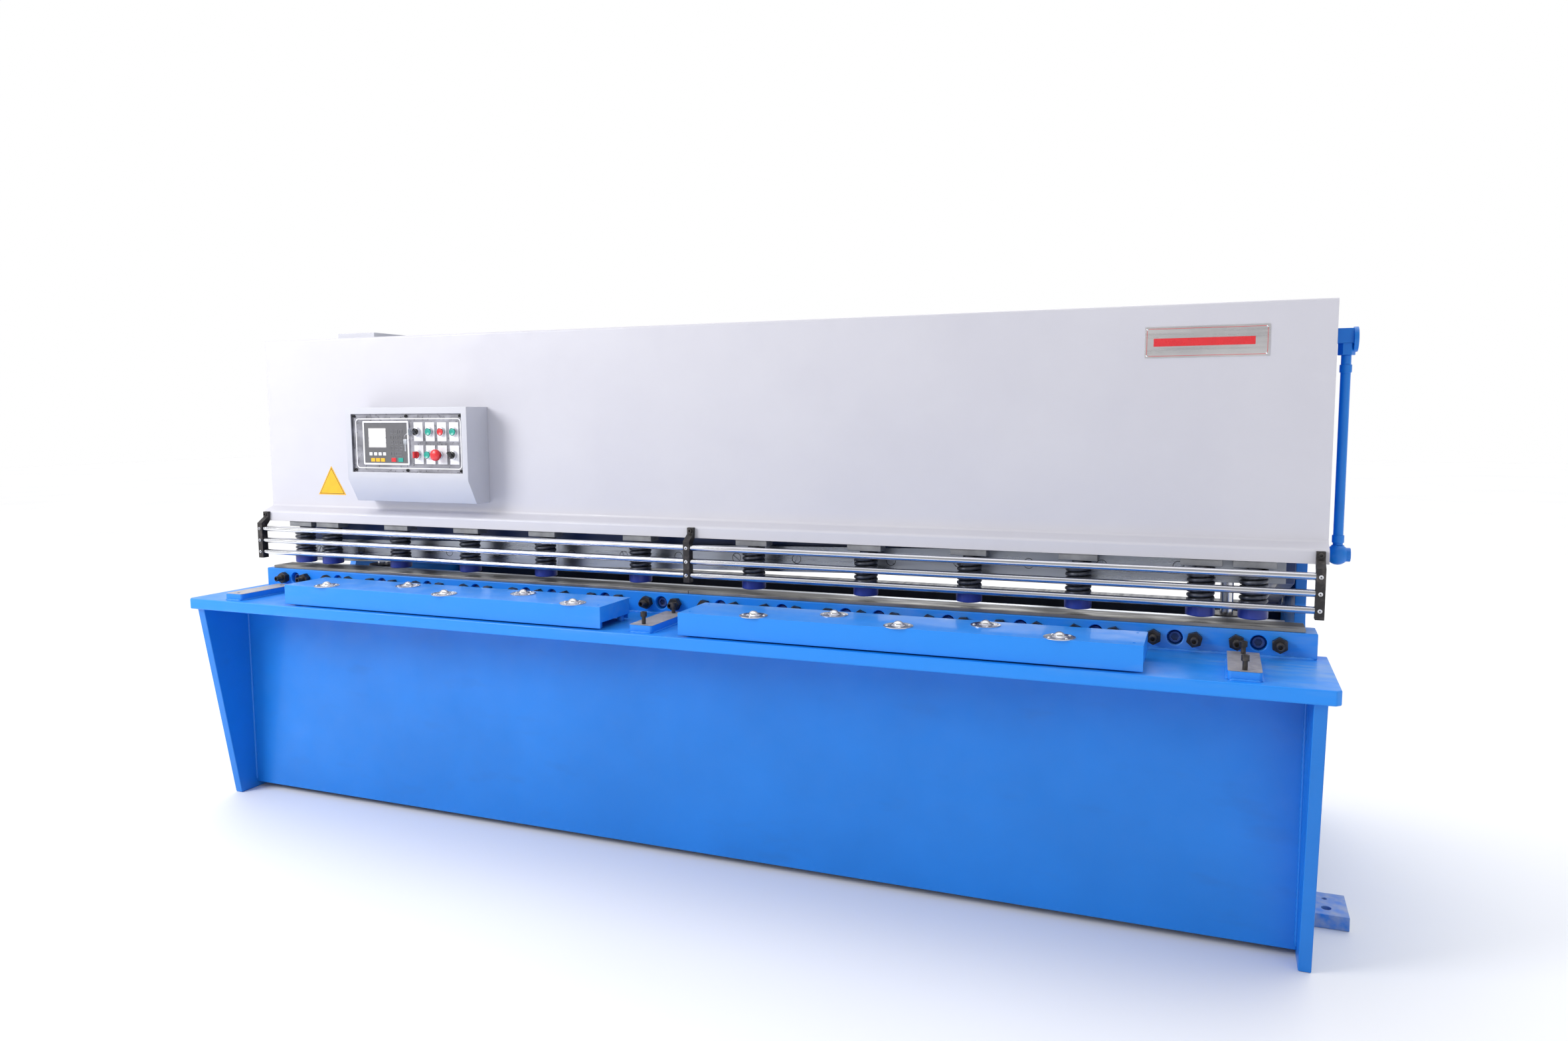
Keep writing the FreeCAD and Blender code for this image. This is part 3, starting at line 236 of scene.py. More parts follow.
def machine_blue():
    """Blue enamel, scuffed on the table and dusty on the anchor lugs, with a painted highlight: a brighter
    blue over the table and ball boxes.
    """
    blue = enamel("blue_paint", (0.005, 0.180, 0.640), (0.007, 0.205, 0.720), 0.40, 0.10, 0.12)
    blue.set("Specular IOR Level", 0.38)

    def between(axis, start, full):
        """Rises from nothing at one place on the axis to all of it at the other."""
        return blue.window(blue.axis(axis), start, full)

    # Painted highlight: a brighter, more saturated blue over the height of the table and ball boxes,
    # standing in for the light they catch.
    upper = blue.both(between("Z", 0.690, 0.705), between("Z", 0.812, 0.806))
    blue.tint(blue.window(upper, 0.0, 1.0, 0.0, 0.75), (0.012, 0.275, 0.920))
    on_table = blue.both(between("Z", 0.715, 0.730), between("Z", 0.812, 0.806))
    worn = blue.both(blue.window(blue.noise(3.2, 5.0, (0.35, 1.5, 1.0)), 0.46, 0.70),
                     blue.window(blue.axis("X"), 0.2, 1.5, 0.25, 1.0))
    scuffs = blue.window(blue.noise(55.0, 4.0, (0.2, 1.0, 1.0)), 0.4, 0.6, 0.2, 0.85)
    blue.tint(blue.both(blue.both(worn, scuffs), on_table), (0.230, 0.400, 0.680))
    lugs = blue.both(between("X", 1.774, 1.780), between("X", -1.774, -1.780), "MAXIMUM")
    low = blue.both(between("Z", 0.060, 0.034), lugs)
    dust = blue.both(low, blue.window(blue.noise(30.0, 5.0), 0.3, 0.7))
    blue.tint(blue.window(dust, 0.0, 1.0, 0.0, 0.9), (0.400, 0.450, 0.560))


def make_finishes():
    """Every finish that a material slot of the frame or a piece asks for."""
    machine_blue()
    # Darker copy of the blue enamel: painted shade for blue parts that stand in shadow under the panel,
    # such as the hold-down beam, with heavy grime spots as well.
    enamel("dark_blue_paint", (0.022, 0.050, 0.170), (0.032, 0.075, 0.240), 0.36, 0.25, 0.5)
    enamel("foot_blue", (0.014, 0.035, 0.270), (0.022, 0.055, 0.380), 0.38, 0.10, 0.30)
    enamel("grey_panel_paint", (0.590, 0.585, 0.650), (0.615, 0.610, 0.670), 0.42, 0.08, 0.0)
    enamel("box_paint", (0.560, 0.565, 0.625), (0.595, 0.600, 0.655), 0.40, 0.08, 0.0)
    enamel("motor_grey", (0.190, 0.210, 0.230), (0.260, 0.280, 0.300), 0.42, 0.15, 0.5)

    steel = Surface("tool_steel", (0.420, 0.440, 0.480), 0.30, metallic=0.9)
    steel.tint(steel.window(steel.noise(5.0, 6.0, (0.3, 1.0, 1.0)), 0.35, 0.7), (0.56, 0.60, 0.68))
    steel.gloss(steel.noise(30.0, 5.0, (0.15, 1.0, 2.0)), 0.22, 0.42)
    steel.relief(steel.noise(700.0, 2.0, (0.03, 1.0, 1.0)), 0.00008)

    worn_top = Surface("worn_steel", (0.085, 0.084, 0.088), 0.48, metallic=0.75)
    worn_top.tint(worn_top.window(worn_top.noise(7.0, 8.0, (0.25, 3.0, 1.0)), 0.45, 0.75),
                  (0.190, 0.185, 0.180))
    worn_top.tint(worn_top.window(worn_top.noise(26.0, 8.0), 0.58, 0.78, 0.0, 0.8), (0.050, 0.046, 0.044))
    rim = worn_top.window(worn_top.axis("Y"), -0.478, -0.488)
    worn_top.tint(worn_top.both(rim, worn_top.window(worn_top.noise(11.0, 5.0), 0.25, 0.6, 0.3, 0.9)),
                  (0.330, 0.315, 0.290))
    worn_top.gloss(worn_top.noise(40.0, 6.0, (0.2, 1.0, 1.0)), 0.34, 0.62)
    worn_top.relief(worn_top.noise(420.0, 4.0, (0.1, 1.0, 1.0)), 0.00025)

    milled = Surface("machined_steel", (0.430, 0.415, 0.440), 0.46, metallic=0.50)
    milled.tint(milled.window(milled.noise(24.0, 6.0), 0.4, 0.7), (0.54, 0.52, 0.55))
    milled.tint(milled.window(milled.noise(70.0, 5.0), 0.64, 0.78, 0.0, 0.5), (0.21, 0.18, 0.16))
    milled.gloss(milled.noise(90.0, 4.0), 0.28, 0.5)
    milled.relief(milled.waves(230.0, "Y", 1.0), 0.00008)

    cast = Surface("cast_grey", (0.270, 0.275, 0.290), 0.60, metallic=0.40)
    cast.tint(cast.window(cast.noise(20.0, 7.0), 0.4, 0.7), (0.380, 0.385, 0.405))
    cast.gloss(cast.noise(60.0, 4.0), 0.48, 0.72)
    cast.relief(cast.noise(420.0, 5.0), 0.00035)

    black = Surface("black_oxide", (0.040, 0.037, 0.038), 0.42, metallic=0.6)
    black.tint(black.window(black.noise(45.0, 6.0), 0.5, 0.75), (0.110, 0.098, 0.092))
    black.gloss(black.noise(80.0, 4.0), 0.32, 0.56)
    black.relief(black.noise(900.0, 3.0), 0.00008)

    coil = Surface("spring_steel", (0.085, 0.092, 0.115), 0.34, metallic=0.6)
    coil.tint(coil.window(coil.noise(40.0, 5.0), 0.5, 0.75), (0.180, 0.190, 0.230))
    coil.gloss(coil.noise(70.0, 4.0), 0.26, 0.48)
    coil.relief(coil.noise(800.0, 3.0), 0.00006)

    bright = Surface("chrome", (0.66, 0.67, 0.71), 0.16, metallic=1.0)
    bright.tint(bright.window(bright.noise(4.0, 2.0), 0.45, 0.8), (0.58, 0.58, 0.62))
    bright.gloss(bright.noise(9.0, 2.0), 0.17, 0.24)

    ball = Surface("ball_steel", (0.74, 0.74, 0.76), 0.14, metallic=1.0)
    ball.tint(ball.window(ball.noise(90.0, 4.0), 0.45, 0.8), (0.50, 0.49, 0.48))
    ball.gloss(ball.noise(160.0, 4.0), 0.08, 0.26)
    ball.relief(ball.noise(900.0, 2.0), 0.00001)

    bearing = Surface("bronze", (0.45, 0.26, 0.10), 0.36, metallic=1.0)
    bearing.tint(bearing.window(bearing.noise(60.0, 4.0), 0.4, 0.7), (0.33, 0.18, 0.07))
    bearing.gloss(bearing.noise(110.0, 3.0), 0.28, 0.48)

    # Near-black sheet steel: painted shade for the rear chute and rear tie beam, which stand in shadow
    # under the raised blade.
    sheet = Surface("dark_sheet", (0.030, 0.033, 0.044), 0.48, metallic=0.45)
    sheet.tint(sheet.window(sheet.noise(6.0, 7.0, (1.0, 0.3, 0.3)), 0.4, 0.7), (0.065, 0.070, 0.085))
    sheet.gloss(sheet.noise(30.0, 5.0, (2.0, 0.2, 0.2)), 0.35, 0.6)
    sheet.relief(sheet.noise(300.0, 3.0, (1.0, 0.1, 0.1)), 0.00012)

    plate = Surface("plate_grey", (0.200, 0.200, 0.225), 0.36, metallic=0.6)
    plate.tint(plate.window(plate.noise(9.0, 7.0, (1.0, 1.0, 2.6)), 0.42, 0.7), (0.360, 0.360, 0.410))
    plate.gloss(plate.noise(70.0, 5.0), 0.22, 0.5)
    plate.relief(plate.noise(26.0, 3.0, (1.0, 1.0, 2.0)), 0.0008)

    plain_plastic("controller_grey", (0.115, 0.115, 0.125), 0.42)
    plain_plastic("bezel_white", (0.86, 0.86, 0.90), 0.35)
    plain_plastic("red_plastic", (0.72, 0.030, 0.040), 0.28)
    plain_plastic("green_plastic", (0.015, 0.380, 0.300), 0.28)
    plain_plastic("black_plastic", (0.016, 0.017, 0.020), 0.34)
    plain_plastic("sign_yellow", (0.930, 0.480, 0.010), 0.40)

    label = Surface("plate_aluminium", (0.56, 0.55, 0.565), 0.30, metallic=0.75)
    label.tint(label.window(label.noise(6.0, 4.0, (1.0, 1.0, 2.0)), 0.35, 0.7), (0.70, 0.68, 0.68))
    label.gloss(label.noise(40.0, 4.0, (0.1, 1.0, 3.0)), 0.22, 0.4)
    label.relief(label.noise(900.0, 2.0, (0.02, 1.0, 1.0)), 0.00003)


# ---------------------------------------------------------------- making pieces

def finished(bm, name, slot, body, nodes=(), smooth_below=38.0, even=True):
    """Turn a bmesh into a smooth-shaded piece with a finish that rides on a body."""
    mesh = bpy.data.meshes.new(name)
    bm.to_mesh(mesh)
    bm.free()
    mesh.shade_smooth()
    mesh.set_sharp_from_angle(angle=math.radians(smooth_below))
    mesh.materials.append(FINISH[slot])
    piece = bpy.data.objects.new(name, mesh)
    bpy.context.scene.collection.objects.link(piece)
    if even:
        weights = piece.modifiers.new("even_shading", "WEIGHTED_NORMAL")
        weights.keep_sharp = True
    if nodes:
        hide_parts(*nodes)
    if body:
        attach(piece, body)
    return piece


def edges_of(verts):
    """Edges that meet the given vertices."""
    return list({edge for vert in verts for edge in vert.link_edges})


def verts_in(geom):
    """Vertices among the elements that an operator returned."""
    return [item for item in geom if isinstance(item, bmesh.types.BMVert)]


def both_sides(places):
    """Places on the right half with their mirror images, from left to right."""
    return [-place for place in reversed(places)] + list(places)


def bevel_edges(bm, edges, width, segments=2):
    bmesh.ops.bevel(bm, geom=edges, offset=width, offset_type="OFFSET", segments=segments,
                    profile=0.5, affect="EDGES", clamp_overlap=False, material=-1)


def sharp_edges(bm, least=32.0):
    limit = math.radians(least)
    return [edge for edge in bm.edges
            if len(edge.link_faces) == 2 and edge.calc_face_angle() > limit]


def softened(node, width, segments=2, slot=None):
    """Piece with a CAD node's shape, its sharp edges rounded by `width`."""
    bm = bmesh.new()
    bm.from_mesh(NODES[node].data)
    bmesh.ops.remove_doubles(bm, verts=bm.verts, dist=0.00002)
    bmesh.ops.dissolve_limit(bm, angle_limit=math.radians(0.6), verts=bm.verts, edges=bm.edges)
    bevel_edges(bm, sharp_edges(bm), width, segments)
    return finished(bm, node + "_piece", slot or NODE_SLOT[node], NODES[node]["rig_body"], (node,))


def block(bm, low, high, width=0.0, segments=2):
    """Add a box between two corners, with rounded edges if a width is given."""
    size = Vector(high) - Vector(low)
    centre = (Vector(high) + Vector(low)) / 2
    place = Matrix.Translation(centre) @ Matrix.Diagonal((*size, 1.0))
    made = bmesh.ops.create_cube(bm, size=1.0, matrix=place)
    if width:
        bevel_edges(bm, edges_of(made["verts"]), width, segments)


def along(axis):
    """Turn that lays the Z axis along the named one."""
    turns = {"X": Matrix.Rotation(math.pi / 2, 4, "Y"), "Y": Matrix.Rotation(-math.pi / 2, 4, "X")}
    return turns.get(axis, Matrix.Identity(4))


def lathe(bm, profile, place, axis="Z", steps=32):
    """Spin a closed or open (radius, height) outline round an axis through `place`."""
    turn = Matrix.Translation(place) @ along(axis)
    verts = [bm.verts.new((radius, 0.0, height)) for radius, height in profile]
    edges = [bm.edges.new(pair) for pair in zip(verts, verts[1:])]
    bmesh.ops.spin(bm, geom=verts + edges, cent=(0, 0, 0), axis=(0, 0, 1),
                   angle=2 * math.pi, steps=steps, use_merge=True)
    fresh = linked(verts)
    bmesh.ops.remove_doubles(bm, verts=list(fresh), dist=0.000005)
    fresh = [vert for vert in fresh if vert.is_valid]
    bmesh.ops.recalc_face_normals(bm, faces=list({f for vert in fresh for f in vert.link_faces}))
    bmesh.ops.transform(bm, matrix=turn, verts=fresh)
    return fresh


def facing(bm, profile, x, y, z, steps=36):
    """Lathe a profile whose height points at the operator."""
    fresh = lathe(bm, profile, (0, 0, 0), "Z", steps)
    bmesh.ops.transform(bm, matrix=Matrix.Translation((x, y, z)) @ TO_OPERATOR, verts=fresh)


def linked(verts):
    """Every vertex joined to the given ones."""
    seen = set(verts)
    queue = list(verts)
    while queue:
        vert = queue.pop()
        for edge in vert.link_edges:
            other = edge.other_vert(vert)
            if other not in seen:
                seen.add(other)
                queue.append(other)
    return seen


def repeat(pattern, places, turn=None):
    """A new bmesh with a copy of the pattern at each place."""
    mesh = bpy.data.meshes.new("pattern")
    pattern.to_mesh(mesh)
    pattern.free()
    bm = bmesh.new()
    for index, place in enumerate(places):
        before = len(bm.verts)
        bm.from_mesh(mesh)
        bm.verts.ensure_lookup_table()
        move = Matrix.Translation(place)
        if turn:
            move = move @ turn(index)
        bmesh.ops.transform(bm, matrix=move, verts=bm.verts[before:])
    bpy.data.meshes.remove(mesh)
    return bm


def raised(bm):
    """Turn a piece of the swinging beam from mid stroke back to rest."""
    bmesh.ops.rotate(bm, verts=bm.verts, cent=PIVOT, matrix=Matrix.Rotation(RAISE, 3, "X"))


# ---------------------------------------------------------------- front panel and guard

def front_panel():
    """Folded cover sheet with a flared foot and rounded folds."""
    half, top, skirt_y = 1.7915, 1.646, -0.500
    crease, skirt_top, skirt_low = 1.031, 1.015, 0.979
    sheet, edge_return = 0.0025, 0.014
    fold_radius, fold_steps = 0.007, 5
    profile = [(PANEL_Y + 0.0425, top), (PANEL_Y, top), (PANEL_Y, crease),
               (skirt_y, skirt_top), (skirt_y - 0.004, skirt_low)]
    bm = bmesh.new()
    verts = [bm.verts.new((-half, y, z)) for y, z in profile]
    edges = [bm.edges.new(pair) for pair in zip(verts, verts[1:])]
    made = bmesh.ops.extrude_edge_only(bm, edges=edges)
    bmesh.ops.translate(bm, vec=(2 * half, 0, 0), verts=verts_in(made["geom"]))
    sides = [edge for edge in bm.edges
             if abs(edge.verts[0].co.z - edge.verts[1].co.z) > 0.3]
    made = bmesh.ops.extrude_edge_only(bm, edges=sides)
    bmesh.ops.translate(bm, vec=(0, edge_return, 0), verts=verts_in(made["geom"]))
    folds = [edge for edge in bm.edges
             if len(edge.link_faces) == 2 and edge.calc_face_angle() > 0.1]
    long_folds = [edge for edge in folds if abs(edge.verts[0].co.x - edge.verts[1].co.x) > 1]
    bevel_edges(bm, long_folds, fold_radius, fold_steps)
    bmesh.ops.recalc_face_normals(bm, faces=bm.faces)
    if sum(face.normal.y for face in bm.faces) > 0:
        bmesh.ops.reverse_faces(bm, faces=bm.faces)
    bmesh.ops.solidify(bm, geom=bm.faces, thickness=sheet)
    bevel_edges(bm, sharp_edges(bm, 60), 0.0006, 1)
    finished(bm, "front_panel_sheet", "grey_panel_paint", "frame", ("front_panel",))


def guard_screws():
    """Bright set screws on the front of each bracket, one for each rod, and the tab screws."""
    bracket_front, tab_front, tab_z = -0.5432, -0.5142, 1.002
    bm = bmesh.new()
    for x in GUARD_X:
        for z in GUARD_Z:
            lathe(bm, [(0.0, 0.0006), (0.0026, 0.0), (0.0028, -0.002), (0.0055, -0.0022),
                       (0.006, -0.0008), (0.006, 0.001)], (x, bracket_front, z), "Y", 16)
    finished(bm, "guard_set_screws", "chrome", "frame")
    bm = bmesh.new()
    for x in GUARD_X:
        lathe(bm, [(0.0, 0.001), (0.003, 0.001), (0.0036, -0.0035), (0.0065, -0.0035),
                   (0.0075, -0.002), (0.0075, 0.0005)], (x, tab_front, tab_z), "Y", 20)
    finished(bm, "guard_tab_screws", "black_oxide", "frame")


# ---------------------------------------------------------------- bed

def adjusting_nuts():
    """Chamfered hex nuts, each on a socket set screw."""
    flats, thick, screw_r, reach = 0.036, 0.019, 0.0099, 0.025
    pattern = bmesh.new()
    corner = flats / math.sqrt(3)
    bmesh.ops.create_cone(pattern, cap_ends=True, segments=6, radius1=corner, radius2=corner,
                          depth=thick, matrix=Matrix.Translation((0, 0, thick / 2)))
    for step in range(12):
        angle = math.radians(30 * step + 15)
        out = Vector((math.cos(angle), math.sin(angle), 0))
        normal = (out + Vector((0, 0, 1.7))).normalized()
        point = out * (flats / 2 + 0.0004) + Vector((0, 0, thick))
        everything = pattern.verts[:] + pattern.edges[:] + pattern.faces[:]
        cut = bmesh.ops.bisect_plane(pattern, geom=everything, plane_co=point, plane_no=normal,
                                     clear_outer=True)
        rim = [item for item in cut["geom_cut"] if isinstance(item, bmesh.types.BMEdge)]
        bmesh.ops.holes_fill(pattern, edges=rim, sides=0)
    bevel_edges(pattern, sharp_edges(pattern, 50), 0.0006, 2)
    end = thick + reach
    outline = [(0.0, end - 0.010), (0.0050, end - 0.010), (0.0053, end), (screw_r - 0.0018, end),
               (screw_r, end - 0.0018)]
    for step in range(8):
        depth = end - 0.0030 - 0.0025 * step
        outline += [(screw_r, depth), (screw_r - 0.0010, depth - 0.00125)]
    outline.append((screw_r, thick - 0.002))
    lathe(pattern, outline, (0, 0, 0), "Z", 24)
    first = -NUT_PITCH * (NUT_COUNT - 1) / 2
    places = [(first + NUT_PITCH * step, BED_FRONT, NUT_Z) for step in range(NUT_COUNT)]

    def turn(index):
        """Each nut stops at an angle of its own."""
        return Matrix.Rotation(math.radians(13.0 * index * index % 60), 4, "Y") @ TO_OPERATOR

    bm = repeat(pattern, places, turn)
    finished(bm, "adjusting_nuts", "black_oxide", "frame", ("adjusting_screws",), 28)


def weld_bead(bm, start, end, radius, seed):
    """Rippled bead of weld between two points."""
    run = Vector(end) - Vector(start)
    steps = max(8, int(run.length / 0.006))
    turn = run.to_track_quat("Z", "Y").to_matrix().to_4x4()
    ring = bmesh.ops.create_circle(bm, cap_ends=False, segments=10, radius=radius,
                                   matrix=Matrix.Translation(start) @ turn)
    edges = edges_of(ring["verts"])
    current = ring["verts"]
    centre = Vector(start)
    rings = [(centre.copy(), current)]
    for _ in range(steps):
        made = bmesh.ops.extrude_edge_only(bm, edges=edges)
        current = verts_in(made["geom"])
        edges = [item for item in made["geom"] if isinstance(item, bmesh.types.BMEdge)
                 and all(vert in current for vert in item.verts)]
        bmesh.ops.translate(bm, vec=run / steps, verts=current)
        centre = centre + run / steps
        rings.append((centre.copy(), current))
    for index, (middle, verts) in enumerate(rings):
        swell = 0.86 + 0.14 * math.cos(index * 2.1 + seed)
        swell += 0.22 * noise.noise(middle * 9.0 + Vector((seed, 0, 0)))
        if index in (0, len(rings) - 1):
            swell *= 0.3
        for vert in verts:
            vert.co = middle + (vert.co - middle) * swell


def bed_welds():
    """Painted beads where the bed bar, the table and the apron meet."""
    on_table = TABLE_TOP + 0.0002
    bar_end, bar_y = 1.765, -0.5185
    apron_end, apron_y, apron_top = 1.738, -0.6395, 0.6975
    table_end, table_y, table_z = 1.7745, (-0.815, -0.47), 0.6970
    corner_x, corner_y, corner_z = 1.742, -0.6400, (0.030, 0.690)
    pad_front_half, pad_front_y = 0.034, -0.8130
    pad_side, pad_side_y = 0.0385, (-0.806, -0.586)
    bm = bmesh.new()
    weld_bead(bm, (-bar_end, bar_y, on_table), (bar_end, bar_y, on_table), 0.0058, 1.0)
    weld_bead(bm, (-apron_end, apron_y, apron_top), (apron_end, apron_y, apron_top), 0.0050, 2.0)
    for side in (-1, 1):
        x = side * table_end
        weld_bead(bm, (x, table_y[0], table_z), (x, table_y[1], table_z), 0.0052, 3.0 + side)
        x = side * corner_x
        weld_bead(bm, (x, corner_y, corner_z[0]), (x, corner_y, corner_z[1]), 0.0050, 6.0 + side)
    for x in PAD_X:
        weld_bead(bm, (x - pad_front_half, pad_front_y, on_table),
                  (x + pad_front_half, pad_front_y, on_table), 0.0052, 8.0 + x)
        for side in (-1, 1):
            edge_x = x + side * pad_side
            weld_bead(bm, (edge_x, pad_side_y[0], on_table), (edge_x, pad_side_y[1], on_table),
                      0.0045, 9.0 + x)
    finished(bm, "bed_weld_beads", "blue_paint", "frame", smooth_below=60, even=False)


def pad_faces():
    """Bare milled faces on the painted pads."""
    least_z, proud = 0.75, 0.0003
    bm = bmesh.new()
    bm.from_mesh(NODES["table_pads"].data)
    painted = [face for face in bm.faces
               if face.normal.z < 0.9 or face.calc_center_median().z < least_z]
    bmesh.ops.delete(bm, geom=painted, context="FACES")
    bmesh.ops.remove_doubles(bm, verts=bm.verts, dist=0.00002)
    for vert in bm.verts:
        vert.co.z += proud
    finished(bm, "table_pad_faces", "machined_steel", "frame")


# ---------------------------------------------------------------- upper blade

def upper_screw_gap_shade_rings():
    """Black rings round the flush screws of the upper blades: painted shade for the gaps round their heads.
    """
    inner, outer, proud, deep = 0.0136, 0.0152, 0.0004, -0.0003
    bm = bmesh.new()
    for x in both_sides(SCREW_X):
        z = EDGE_MID_Z + x * RAKE + SCREW_LIFT
        lathe(bm, [(inner, proud), (outer, 0.0002), (outer, deep), (inner, deep), (inner, proud)],
              (x, BLADE_Y, z), "Y", 28)
    raised(bm)
    finished(bm, "upper_screw_gap_shade_rings", "black_oxide", "blade_beam")


# ---------------------------------------------------------------- hold-downs

def shade_sleeves_in_springs():
    """Dark sleeves on the plungers, inside the springs: painted shade that keeps the inside of each coil
    dark.
    """
    inner, outer = 0.0176, 0.0183
    bm = bmesh.new()
    for x in both_sides(HOLD_X):
        lathe(bm, [(inner, SPRING_LOW - 0.0005), (outer, SPRING_LOW), (outer, SPRING_HIGH - 0.001),
                   (inner, SPRING_HIGH - 0.0005), (inner, SPRING_LOW - 0.0005)],
              (x, HOLD_Y, 0), "Z", 32)
    finished(bm, "hold_down_spring_shade_sleeves", "spring_steel", "hold_down_feet")


def hold_down_springs():
    """Round-wire coil springs, squared at both ends."""
    wire, mean, turns = 0.0059, 0.0300, 7.25
    around, ends = 26, 0.75
    low, high = SPRING_LOW + wire, SPRING_HIGH - wire
    for place in both_sides(HOLD_X):
        bm = bmesh.new()
        ring = bmesh.ops.create_circle(bm, cap_ends=True, segments=10, radius=wire,
                                       matrix=Matrix.Translation((place + mean, HOLD_Y, low))
                                       @ TO_OPERATOR)
        geom = list(ring["verts"]) + edges_of(ring["verts"])
        geom += list({face for vert in ring["verts"] for face in vert.link_faces})
        for count, rise in ((ends, 0.0100 * ends), (turns - 2 * ends, high - low - 0.0200 * ends),
                            (ends, 0.0100 * ends)):
            steps = int(around * count)
            made = bmesh.ops.spin(bm, geom=geom, cent=(place, HOLD_Y, low), axis=(0, 0, 1),
                                  dvec=(0, 0, rise / steps), angle=2 * math.pi * count, steps=steps,
                                  use_merge=False)
            geom = made["geom_last"]
        bmesh.ops.recalc_face_normals(bm, faces=bm.faces)
        side = "left" if place < 0 else "right"
        name = f"hold_down_spring_{side}_{abs(place) * 1000:.0f}"
        nodes = ("hold_down_springs",) if place == HOLD_X[0] else ()
        spring = finished(bm, name, "spring_steel", None, nodes, 60, even=False)
        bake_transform(spring)


# ---------------------------------------------------------------- ball transfers

def ball_sockets():
    """Pressed flanges with a raised collar, held by four round-head screws."""
    pattern = bmesh.new()
    lathe(pattern, [(0.0150, -0.004), (0.0147, 0.0045), (0.0156, 0.0062), (0.0176, 0.0060),
                    (0.0205, 0.0036), (0.0228, 0.0030), (0.0385, 0.0026), (0.0398, 0.0019),
                    (0.0400, 0.0004), (0.0398, 0.0000), (0.0240, 0.0000), (0.0236, -0.0200),
                    (0.0150, -0.0220), (0.0, -0.0220)], (0, 0, 0), "Z", 48)
    for step in range(4):
        angle = math.radians(45 + 90 * step)
        place = (0.0305 * math.cos(angle), 0.0305 * math.sin(angle), 0.0026)
        lathe(pattern, [(0.0, 0.0024), (0.0022, 0.0022), (0.0038, 0.0013), (0.0043, 0.0),
                        (0.0043, -0.001)], place, "Z", 14)
    places = [(x, row_y, FLANGE_Z) for row_y, row_x in BALL_ROWS for x in row_x]
    bm = repeat(pattern, places, lambda index: Matrix.Rotation(0.3 * index, 4, "Z"))
    finished(bm, "ball_socket_flanges", "chrome", "frame", ("ball_sockets",), 50)


def transfer_balls():
    """One piece for each row of balls, which rolls about the row's own axis."""
    for name, (row_y, row_x) in zip(("front", "back"), BALL_ROWS):
        bm = bmesh.new()
        for x in row_x:
            bmesh.ops.create_uvsphere(bm, u_segments=40, v_segments=24, radius=0.016,
                                      matrix=Matrix.Translation((x, row_y, BALL_Z)) @ along("X"))
        node = "transfer_balls_" + name
        finished(bm, node + "_piece", "ball_steel", node, (node,), 60, even=False)


# ---------------------------------------------------------------- console

def ring_line(bm, low, high, y, radius, line, proud):
    """Thin raised border line with rounded corners, in the plane facing the operator."""
    loops = []
    for inset, rise in ((0.0, 0.0), (0.0, proud), (line, proud), (line, 0.0)):
        turn = max(radius - inset, 0.0002)
        left, right = low[0] + inset + turn, high[0] - inset - turn
        under, over = low[1] + inset + turn, high[1] - inset - turn
        loop = []
        corners = ((right, over), (left, over), (left, under), (right, under))
        for quarter, (x, z) in enumerate(corners):
            for step in range(6):
                angle = math.pi / 2 * (quarter + step / 5)
                across, up = turn * math.cos(angle), turn * math.sin(angle)
                loop.append(bm.verts.new((x + across, y - rise, z + up)))
        loops.append(loop)
    fresh = []
    for inner, outer in zip(loops, loops[1:] + loops[:1]):
        for index in range(len(inner)):
            after = (index + 1) % len(inner)
            fresh.append(bm.faces.new((inner[index], inner[after], outer[after], outer[index])))
    bmesh.ops.recalc_face_normals(bm, faces=fresh)


def console_plate_details():
    """White border line and six black cap screws on the operator plate."""
    bm = bmesh.new()
    ring_line(bm, (-1.275, 1.184), (-0.824, 1.357), PLATE_Y + 0.0002, 0.014, 0.0035, 0.0008)
    finished(bm, "console_border_line", "bezel_white", "frame")
    bm = bmesh.new()
    cap = [(0.0, 0.0015), (0.0024, 0.0015), (0.0028, 0.0050), (0.0046, 0.0050), (0.0052, 0.0042),
           (0.0052, -0.0005)]
    for x in (-1.279, -1.052, -0.826):
        for z in (1.179, 1.364):
            facing(bm, cap, x, PLATE_Y, z, 18)
    finished(bm, "console_cover_screws", "black_plastic", "frame")


